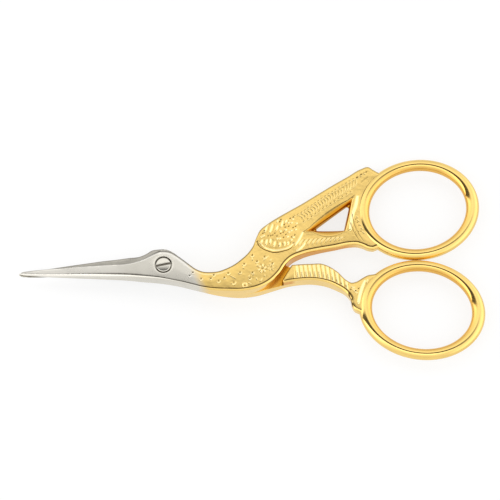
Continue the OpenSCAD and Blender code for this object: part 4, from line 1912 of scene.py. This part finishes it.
@dataclass
class PivotScrew:
    """The slotted screw, from the end of its shank to its head.

    Attributes:
        head_d: Diameter of the head.
        head_h: Height of the head.
        shank_d: Diameter of the shank.
        slot_w: Width of the slot.
        slot_depth: Depth of the slot.
        slot_turn: How far the slot is turned from the X axis.
        rim_r: Radius of the head's rim.
        crown: How much higher the head is in its middle than at its rim.
        slot_wall: Width over which the slot's walls fall.
        slot_lip: Width and drop of the rounding beside them.
        slot_shade: How dark the painted shade in the slot is.
        end_bevel: Bevel at the end of the shank.
        grid_half: Half the width of the grid of corners on the head.
        grid_count: Number of corners along each side of that grid.
    """

    head_d: float = 2.9
    head_h: float = 0.75
    shank_d: float = 2.0
    slot_w: float = 0.45
    slot_depth: float = 0.4
    slot_turn: float = math.radians(12)
    rim_r: float = 0.22
    crown: float = 0.06
    slot_wall: float = 0.02
    slot_lip: tuple[float, float] = (0.05, 0.03)
    slot_shade: float = 0.85
    end_bevel: float = 0.08
    grid_half: float = 1.4
    grid_count: int = 30

    def shell(self) -> Shell:
        """The screw as one closed surface.

        Returns:
            The screw's surface.
        """
        shell = Shell()
        rim = circle(self.head_d / 2, 96)[::-1]
        across = np.array([-math.sin(self.slot_turn), math.cos(self.slot_turn)])
        along = np.array([math.cos(self.slot_turn), math.sin(self.slot_turn)])
        spots = [rim * (1 - self.rim_r * (1 - math.cos(a)) / (self.head_d / 2)) for a in RIM_ANGLES]
        reach = np.linspace(-self.head_d / 2, self.head_d / 2, 60)[1:-1, None]
        for beside in (0, self.slot_lip[0], -self.slot_wall):
            offset = self.slot_w / 2 + beside
            spots += [reach * along + offset * across, reach * along - offset * across]
        grid = np.linspace(-self.grid_half, self.grid_half, self.grid_count)
        x, y = np.meshgrid(grid, grid)
        spots.append(np.column_stack([x.ravel(), y.ravel()]))
        inner = np.vstack(spots)
        inner = inner[np.linalg.norm(inner, axis=1) < self.head_d / 2 - 0.003]
        points, triangles = fill([rim], inner)
        far = np.linalg.norm(points, axis=1)
        height = TOP_Z - self.crown * (far / (self.head_d / 2)) ** 2
        height -= rim_drop(self.head_d / 2 - far, self.rim_r, self.rim_r)
        off = np.abs(points @ across) - self.slot_w / 2
        slot = ramp(off, 0, -self.slot_wall)
        height = height * (1 - slot) + (TOP_Z - self.slot_depth) * slot
        height -= self.slot_lip[1] * ramp(off, self.slot_lip[0], 0) * (1 - slot)
        # The slot gets painted shade
        shell.add(at_height(points, height), triangles, 1.0, slot * self.slot_shade)
        shank = self.shank_d / 2
        turn = rim / (self.head_d / 2)
        strip(shell, [at_height(rim, height[:len(rim)]), at_height(rim, TOP_Z - self.head_h),
                      at_height(turn * shank, TOP_Z - self.head_h), at_height(turn * shank, self.end_bevel),
                      at_height(turn * (shank - self.end_bevel), 0.0)])
        points, triangles = fill([turn * (shank - self.end_bevel)], np.zeros((1, 2)))
        shell.add(at_height(points, 0.0), triangles)
        return shell


# Finishes


def new_material(name: str) -> tuple[bpy.types.Material, bpy.types.NodeTree, bpy.types.Node]:
    """A material with one Principled shader.

    Args:
        name: The material's name.

    Returns:
        The material, its node tree and the shader.
    """
    material = bpy.data.materials.new(name)
    material.use_nodes = True
    tree = material.node_tree
    tree.nodes.clear()
    out = tree.nodes.new("ShaderNodeOutputMaterial")
    shader = tree.nodes.new("ShaderNodeBsdfPrincipled")
    tree.links.new(shader.outputs["BSDF"], out.inputs["Surface"])
    return material, tree, shader


Socket = bpy.types.NodeSocket


class Group:
    """A shader node group that is built once and placed in each material."""

    def __init__(self, name: str, inputs: dict[str, str], outputs: dict[str, str]) -> None:
        """Makes an empty group.

        Args:
            name: The group's name.
            inputs: Name and kind of each input.
            outputs: Name and kind of each output.
        """
        self.tree = bpy.data.node_groups.new(name, "ShaderNodeTree")
        for label, kind in inputs.items():
            self.tree.interface.new_socket(label, in_out="INPUT", socket_type=f"NodeSocket{kind}")
        for label, kind in outputs.items():
            self.tree.interface.new_socket(label, in_out="OUTPUT", socket_type=f"NodeSocket{kind}")
        self.given = self.tree.nodes.new("NodeGroupInput").outputs
        self.result = self.tree.nodes.new("NodeGroupOutput").inputs

    def place(self, tree: bpy.types.NodeTree) -> bpy.types.Node:
        """Puts the group into a material's tree.

        Args:
            tree: The material's tree.

        Returns:
            The group's node.
        """
        node = tree.nodes.new("ShaderNodeGroup")
        node.node_tree = self.tree
        return node


def math_node(tree: bpy.types.NodeTree, kind: str, a: Socket | float, b: Socket | float = 0.0,
              c: Socket | float = 0.0) -> Socket:
    """Adds a math node and feeds its inputs with sockets or numbers.

    Args:
        tree: The tree that gets the node.
        kind: The node's operation.
        a: Its first input.
        b: Its second input.
        c: Its third input.

    Returns:
        The node's result.
    """
    node = tree.nodes.new("ShaderNodeMath")
    node.operation = kind
    for socket, value in zip(node.inputs, (a, b, c)):
        if isinstance(value, (int, float)):
            socket.default_value = value
        else:
            tree.links.new(value, socket)
    return node.outputs[0]


def mix_colour(tree: bpy.types.NodeTree, share: Socket, a: Socket | tuple, b: Socket | tuple) -> Socket:
    """Mixes two colours, given as sockets or as three numbers each.

    Args:
        tree: The tree that gets the node.
        share: How much of the second colour there is.
        a: The first colour.
        b: The second colour.

    Returns:
        The mixed colour.
    """
    node = tree.nodes.new("ShaderNodeMix")
    node.data_type = "RGBA"
    tree.links.new(share, node.inputs["Factor"])
    for label, value in (("A", a), ("B", b)):
        if isinstance(value, tuple):
            node.inputs[label].default_value = (*value, 1)
        else:
            tree.links.new(value, node.inputs[label])
    return node.outputs["Result"]


def noise(tree: bpy.types.NodeTree, scale: float, stretch: tuple[float, float, float] = (1, 1, 1),
          detail: float = 2.0) -> Socket:
    """Noise on Object coordinates, whose cells are about 1 / scale metres wide.

    Args:
        tree: The tree that gets the node.
        scale: Number of cells in a metre.
        stretch: How much closer the cells lie along each axis.
        detail: Number of finer layers.

    Returns:
        The noise, from 0 to 1.
    """
    where = tree.nodes.new("ShaderNodeTexCoord")
    turn = tree.nodes.new("ShaderNodeMapping")
    turn.inputs["Scale"].default_value = stretch
    node = tree.nodes.new("ShaderNodeTexNoise")
    node.inputs["Scale"].default_value = scale
    node.inputs["Detail"].default_value = detail
    tree.links.new(where.outputs["Object"], turn.inputs["Vector"])
    tree.links.new(turn.outputs["Vector"], node.inputs["Vector"])
    return node.outputs["Fac"]


def map_range(tree: bpy.types.NodeTree, value: Socket, old: tuple[float, float],
              new: tuple[Socket | float, Socket | float]) -> Socket:
    """Maps a value from one range to another, and clamps it there.

    Args:
        tree: The tree that gets the node.
        value: The value.
        old: Its range.
        new: The range that it is mapped to.

    Returns:
        The mapped value.
    """
    node = tree.nodes.new("ShaderNodeMapRange")
    tree.links.new(value, node.inputs["Value"])
    node.inputs["From Min"].default_value, node.inputs["From Max"].default_value = old
    for label, end in zip(("To Min", "To Max"), new):
        if isinstance(end, (int, float)):
            node.inputs[label].default_value = end
        else:
            tree.links.new(end, node.inputs[label])
    return node.outputs["Result"]


@dataclass(frozen=True)
class Layer:
    """A layer of noise.

    Attributes:
        scale: Number of cells in a metre.
        ends: The values of the noise that count as 0 and as 1.
        stretch: How much closer the cells lie along each axis.
        detail: Number of finer layers.
    """

    scale: float
    ends: tuple[float, float]
    stretch: tuple[float, float, float] = (1, 1, 1)
    detail: float = 3.0

    def place(self, tree: bpy.types.NodeTree) -> Socket:
        """Adds the layer to a tree; its value goes from 0 to 1."""
        return map_range(tree, noise(tree, self.scale, self.stretch, self.detail), self.ends, (0.0, 1.0))


# Layers of noise on the metal, what they do to its colour and roughness, and how they stand up
PATCHES = Layer(260, (0.35, 0.65))
SCRATCHES = Layer(2600, (0.56, 0.7), (0.06, 1.6, 1.6))
FINE_SCALE, FINE_ENDS = 7000, (0.3, 0.7)
PATCH_TINT, FINE_TINT = (0.93, 1.0), (0.97, 1.03)
PATCH_ROUGH, SCRATCH_ROUGH, SCRATCH_H = 0.04, 0.06, -0.25
BUMP_STRENGTH, BUMP_M = 0.13, 0.00002
# Edge of the plating: its slant, its place along X in metres, and the noise that bends it
PLATING_SLANT, PLATING_ENDS = 0.5, (0.0048, 0.0068)
WAVE_SCALE, WAVE_M = 900, 0.0009


def plating_edge() -> Group:
    """How much of the plating covers a place: none on the blades, all behind the head.

    The edge of the bath slants across the neck, and wavers with a broad noise.

    Returns:
        The group.
    """
    group = Group("plating_edge", {}, {"Plated": "Float"})
    tree = group.tree
    where = tree.nodes.new("ShaderNodeTexCoord")
    split = tree.nodes.new("ShaderNodeSeparateXYZ")
    tree.links.new(where.outputs["Object"], split.inputs[0])
    slanted = math_node(tree, "MULTIPLY_ADD", split.outputs["Y"], PLATING_SLANT, split.outputs["X"])
    wavy = math_node(tree, "MULTIPLY_ADD", noise(tree, WAVE_SCALE), WAVE_M, slanted)
    tree.links.new(map_range(tree, wavy, PLATING_ENDS, (0.0, 1.0)), group.result["Plated"])
    return group


def metal_with_painted_light() -> Group:
    """Polished and satin zones of a metal, with handling marks and painted light.

    The colour goes from the open surface to the redder painted shade, a painted highlight and
    painted shade by their masks, and is lighter and darker in broad patches. Roughness goes from
    satin to polished, rougher in patches and in fine scratches that run along the part. Height is
    the satin grain and the scratches.

    Returns:
        The group.
    """
    group = Group("metal_with_painted_light", {"Open": "Color", "Painted_Shade": "Color", "Red_Painted_Shade": "Color", "Painted_Highlight": "Color",
                                 "Satin": "Float", "Polished": "Float"},
                  {"Color": "Color", "Roughness": "Float", "Height": "Float"})
    tree, given = group.tree, group.given
    mask = {}
    for label in MASKS:
        node = tree.nodes.new("ShaderNodeAttribute")
        node.attribute_name = label
        mask[label] = node.outputs["Fac"]
    patches = PATCHES.place(tree)
    fine = noise(tree, FINE_SCALE)
    scratches = SCRATCHES.place(tree)
    # Painted light: redder painted shade, a painted highlight and painted shade, each by its mask
    base = mix_colour(tree, mask["deep"], given["Open"], given["Red_Painted_Shade"])
    base = mix_colour(tree, mask["painted_light"], base, given["Painted_Highlight"])
    base = mix_colour(tree, mask["cut"], base, given["Painted_Shade"])
    tint = map_range(tree, patches, (0.0, 1.0), PATCH_TINT)
    speckle = map_range(tree, fine, FINE_ENDS, FINE_TINT)
    level = math_node(tree, "MULTIPLY", tint, speckle)
    scale = tree.nodes.new("ShaderNodeVectorMath")
    scale.operation = "SCALE"
    tree.links.new(base, scale.inputs[0])
    tree.links.new(level, scale.inputs["Scale"])
    tree.links.new(scale.outputs[0], group.result["Color"])
    smoother = math_node(tree, "SUBTRACT", given["Polished"], given["Satin"])
    rough = math_node(tree, "MULTIPLY_ADD", mask["polish"], smoother, given["Satin"])
    rough = math_node(tree, "MULTIPLY_ADD", patches, PATCH_ROUGH, rough)
    rough = math_node(tree, "MULTIPLY_ADD", scratches, SCRATCH_ROUGH, rough)
    tree.links.new(rough, group.result["Roughness"])
    satin = math_node(tree, "SUBTRACT", 1.0, mask["polish"])
    grainy = math_node(tree, "MULTIPLY", fine, satin)
    height = math_node(tree, "MULTIPLY_ADD", scratches, SCRATCH_H, grainy)
    tree.links.new(height, group.result["Height"])
    return group


@dataclass(frozen=True)
class Metal:
    """A finish: colours of its open surface, of painted shade, of redder painted shade and of a
    painted highlight, and how rough it is.
    """

    open: tuple[float, float, float]
    cut: tuple[float, float, float]
    deep: tuple[float, float, float]
    painted_light: tuple[float, float, float]
    satin: float
    polished: float


# cut is the colour of painted shade, deep of redder painted shade as of bounced light, and the last one the
# colour of a painted highlight
GOLD = Metal((0.89, 0.625, 0.2), (0.13, 0.075, 0.02), (0.7, 0.3, 0.005), (1.0, 0.86, 0.47), 0.28, 0.08)
STEEL = Metal((0.69, 0.66, 0.585), (0.07, 0.06, 0.045), (0.5, 0.45, 0.38), (0.95, 0.92, 0.85), 0.27, 0.13)


@dataclass
class Finishes:
    """The materials of the scissors, made from the two metals and the shared groups."""

    painted_light: Group = field(default_factory=metal_with_painted_light)
    edge: Group = field(default_factory=plating_edge)

    def material(self, name: str, plated: bool) -> bpy.types.Material:
        """Makes a finish: steel, or steel that goes over into gold plating behind the head.

        Args:
            name: The material's name.
            plated: Whether the plating shows on it.

        Returns:
            The material.
        """
        material, tree, shader = new_material(name)
        painted_light = self.painted_light.place(tree)
        share = self.edge.place(tree).outputs["Plated"] if plated else None
        colours = {"Open": (STEEL.open, GOLD.open), "Painted_Shade": (STEEL.cut, GOLD.cut),
                   "Red_Painted_Shade": (STEEL.deep, GOLD.deep), "Painted_Highlight": (STEEL.painted_light, GOLD.painted_light)}
        for label, (metal, plating) in colours.items():
            if plated:
                tree.links.new(mix_colour(tree, share, metal, plating), painted_light.inputs[label])
            else:
                painted_light.inputs[label].default_value = (*metal, 1)
        levels = {"Satin": (STEEL.satin, GOLD.satin), "Polished": (STEEL.polished, GOLD.polished)}
        for label, ends in levels.items():
            if plated:
                tree.links.new(map_range(tree, share, (0.0, 1.0), ends), painted_light.inputs[label])
            else:
                painted_light.inputs[label].default_value = ends[0]
        tree.links.new(painted_light.outputs["Color"], shader.inputs["Base Color"])
        tree.links.new(painted_light.outputs["Roughness"], shader.inputs["Roughness"])
        bump = tree.nodes.new("ShaderNodeBump")
        bump.inputs["Strength"].default_value = BUMP_STRENGTH
        bump.inputs["Distance"].default_value = BUMP_M
        tree.links.new(painted_light.outputs["Height"], bump.inputs["Height"])
        tree.links.new(bump.outputs["Normal"], shader.inputs["Normal"])
        shader.inputs["Metallic"].default_value = 1.0
        return material


# Stage


@dataclass(frozen=True)
class Studio:
    """Floor, light and camera.

    Attributes:
        distance: From the camera to the scissors, in metres.
        frame_width: Width of the frame there, in metres.
        sensor: Width of the camera's sensor, in millimetres.
        centre: Middle of the frame, read square to the view from the pivot.
        focus_z: Height of the point that the camera looks at.
        floor_glow: Share of the floor's white that no shadow takes away.
        bands: The light round the X axis: degrees from straight up towards the front, and level.
        sides: The light along X: where it begins to grow, where it is full, and how strong.
        fill_from: Where along X the bands begin to give way to even light, and where they have.
        fill_level: Half the level of that even light.
        clip: Nearest and furthest distance that the camera sees, in metres.
        floor_white: How white the floor is, and how rough.
        floor_shine: Level of its reflection.
        floor_half: Half the floor's width, in metres.
        floor_gap: How far the floor lies under the scissors, in metres.
    """

    distance: float = 1.2
    frame_width: float = 0.09615
    sensor: float = 36.0
    centre: tuple[float, float] = (16.63, 4.55)
    focus_z: float = 4.5
    floor_glow: float = 0.75
    bands: Points = ((-90, 0.85), (-55, 1.05), (-35, 1.3), (-19, 1.42), (-13, 0.1), (5, 0.1),
                     (10, 1.8), (24, 1.8), (40, 1.2), (70, 1.0), (90, 0.9))
    sides: tuple[float, float, float] = (0.4, 0.75, 1.4)
    fill_from: tuple[float, float] = (0.12, 0.5)
    fill_level: float = 0.58
    clip: tuple[float, float] = (0.01, 20)
    floor_white: float = 0.9
    floor_shine: float = 0.1
    floor_half: float = 1.5
    floor_gap: float = 0.00002

    def floor(self) -> bpy.types.Object:
        """The pale floor under the scissors.

        Returns:
            The floor.
        """
        mesh = bpy.data.meshes.new("floor")
        half = self.floor_half
        low = CAD_BOX[0][2] - self.floor_gap
        mesh.from_pydata([(-half, -half, low), (half, -half, low), (half, half, low),
                          (-half, half, low)], [], [(0, 1, 2, 3)])
        floor = bpy.data.objects.new("floor", mesh)
        bpy.context.scene.collection.objects.link(floor)
        material, tree, shader = new_material("pale_floor")
        shader.inputs["Base Color"].default_value = (*(self.floor_white,) * 3, 1)
        shader.inputs["Roughness"].default_value = self.floor_white
        shader.inputs["Specular IOR Level"].default_value = self.floor_shine
        path = tree.nodes.new("ShaderNodeLightPath")
        seen = math_node(tree, "MAXIMUM", path.outputs["Is Camera Ray"], path.outputs["Is Glossy Ray"])
        seen = math_node(tree, "MAXIMUM", seen, path.outputs["Is Transmission Ray"])
        glow = tree.nodes.new("ShaderNodeEmission")
        blend = tree.nodes.new("ShaderNodeMixShader")
        tree.links.new(math_node(tree, "MULTIPLY", seen, self.floor_glow), blend.inputs["Fac"])
        tree.links.new(shader.outputs["BSDF"], blend.inputs[1])
        tree.links.new(glow.outputs[0], blend.inputs[2])
        out = next(node for node in tree.nodes if node.type == "OUTPUT_MATERIAL")
        tree.links.new(blend.outputs[0], out.inputs["Surface"])
        floor.data.materials.append(material)
        return floor

    def light(self) -> None:
        """Soft light all round, in bands that run along X."""
        world = bpy.data.worlds.new("studio")
        bpy.context.scene.world = world
        world.use_nodes = True
        tree = world.node_tree
        tree.nodes.clear()
        out = tree.nodes.new("ShaderNodeOutputWorld")
        back = tree.nodes.new("ShaderNodeBackground")
        where = tree.nodes.new("ShaderNodeTexCoord")
        split = tree.nodes.new("ShaderNodeSeparateXYZ")
        tree.links.new(where.outputs["Generated"], split.inputs[0])
        towards_front = math_node(tree, "MULTIPLY", split.outputs["Y"], -1.0)
        angle = math_node(tree, "ARCTAN2", towards_front, split.outputs["Z"])
        share = map_range(tree, angle, (-math.pi / 2, math.pi / 2), (0.0, 1.0))
        levels = tree.nodes.new("ShaderNodeValToRGB")
        tree.links.new(share, levels.inputs["Fac"])
        fill_in = map_range(tree, split.outputs["X"], self.fill_from, (0.0, 1.0))
        filled = mix_colour(tree, fill_in, levels.outputs["Color"], (self.fill_level,) * 3)
        tree.links.new(filled, back.inputs["Color"])
        elements = levels.color_ramp.elements
        while len(elements) > 1:
            elements.remove(elements[-1])
        for k, (degrees, level) in enumerate(self.bands):
            place = (degrees + 90) / 180
            element = elements[0] if k == 0 else elements.new(place)
            element.position = place
            element.color = (level / 2, level / 2, level / 2, 1)
        side = math_node(tree, "ABSOLUTE", split.outputs["X"])
        brighter = map_range(tree, side, self.sides[:2], (1.0, self.sides[2]))
        tree.links.new(math_node(tree, "MULTIPLY", brighter, 2.0), back.inputs["Strength"])
        tree.links.new(back.outputs[0], out.inputs["Surface"])

    def camera(self) -> bpy.types.Object:
        """The camera at the photograph's angle: from the front, tilted by VIEW_TILT.

        Returns:
            The camera.
        """
        towards = np.array([0, -math.sin(VIEW_TILT), math.cos(VIEW_TILT)])
        up = np.array([0, math.cos(VIEW_TILT), math.sin(VIEW_TILT)])
        target = np.array([self.centre[0], 0, 0]) + self.centre[1] * up
        target = (target + towards * (self.focus_z - target[2]) / towards[2]) * MM
        data = bpy.data.cameras.new("camera")
        data.sensor_width = self.sensor
        data.lens = self.sensor * self.distance / self.frame_width
        data.clip_start, data.clip_end = self.clip
        camera = bpy.data.objects.new("camera", data)
        bpy.context.scene.collection.objects.link(camera)
        right = np.cross(up, towards)
        axes = Matrix([[*row] for row in np.column_stack([right, up, towards])])
        camera.matrix_world = Matrix.Translation(Vector(target + towards * self.distance)) @ axes.to_4x4()
        bpy.context.scene.camera = camera
        return camera


def dress(obj: bpy.types.Object, material: bpy.types.Material, body: str, node: str) -> None:
    """Gives a piece its finish and the body it rides on, and hides the part that it stands for.

    Args:
        obj: The piece.
        material: Its finish.
        body: The body that it rides on.
        node: The node that it stands for.
    """
    obj.data.materials.append(material)
    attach(obj, body)
    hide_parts(node)
    LOG.info("%s stands for %s and rides on %s", obj.name, node, body)


def main() -> None:
    """Builds the scissors and the studio, and reports each piece."""
    logging.basicConfig(level=logging.INFO, format="%(message)s")
    studio = Studio()
    studio.camera()
    finishes = Finishes()
    gold = finishes.material("gold_plating", plated=True)
    steel = finishes.material("ground_steel", plated=True)
    bare = finishes.material("polished_screw_steel", plated=False)
    front = FrontLever().shell()
    dress(front.build("beak_front", high=PLATING_X), steel, "front_lever", "front_blade")
    dress(front.build("bird_body", low=PLATING_X), gold, "front_lever", "front_body")
    dress(FRONT_BOW.build("upper_bow"), gold, "front_lever", "front_bow")
    rear = RearLever().shell()
    dress(rear.build("beak_rear", high=PLATING_X), steel, "rear_lever", "rear_blade")
    dress(rear.build("bird_leg", low=PLATING_X), gold, "rear_lever", "rear_leg")
    dress(REAR_BOW.build("lower_bow"), gold, "rear_lever", "rear_bow")
    dress(PivotScrew().shell().build("slotted_screw"), bare, "rear_lever", "pivot_screw")
    studio.floor()
    studio.light()
    bpy.context.scene.view_settings.view_transform = "Standard"


if __name__ == "__main__":
    main()
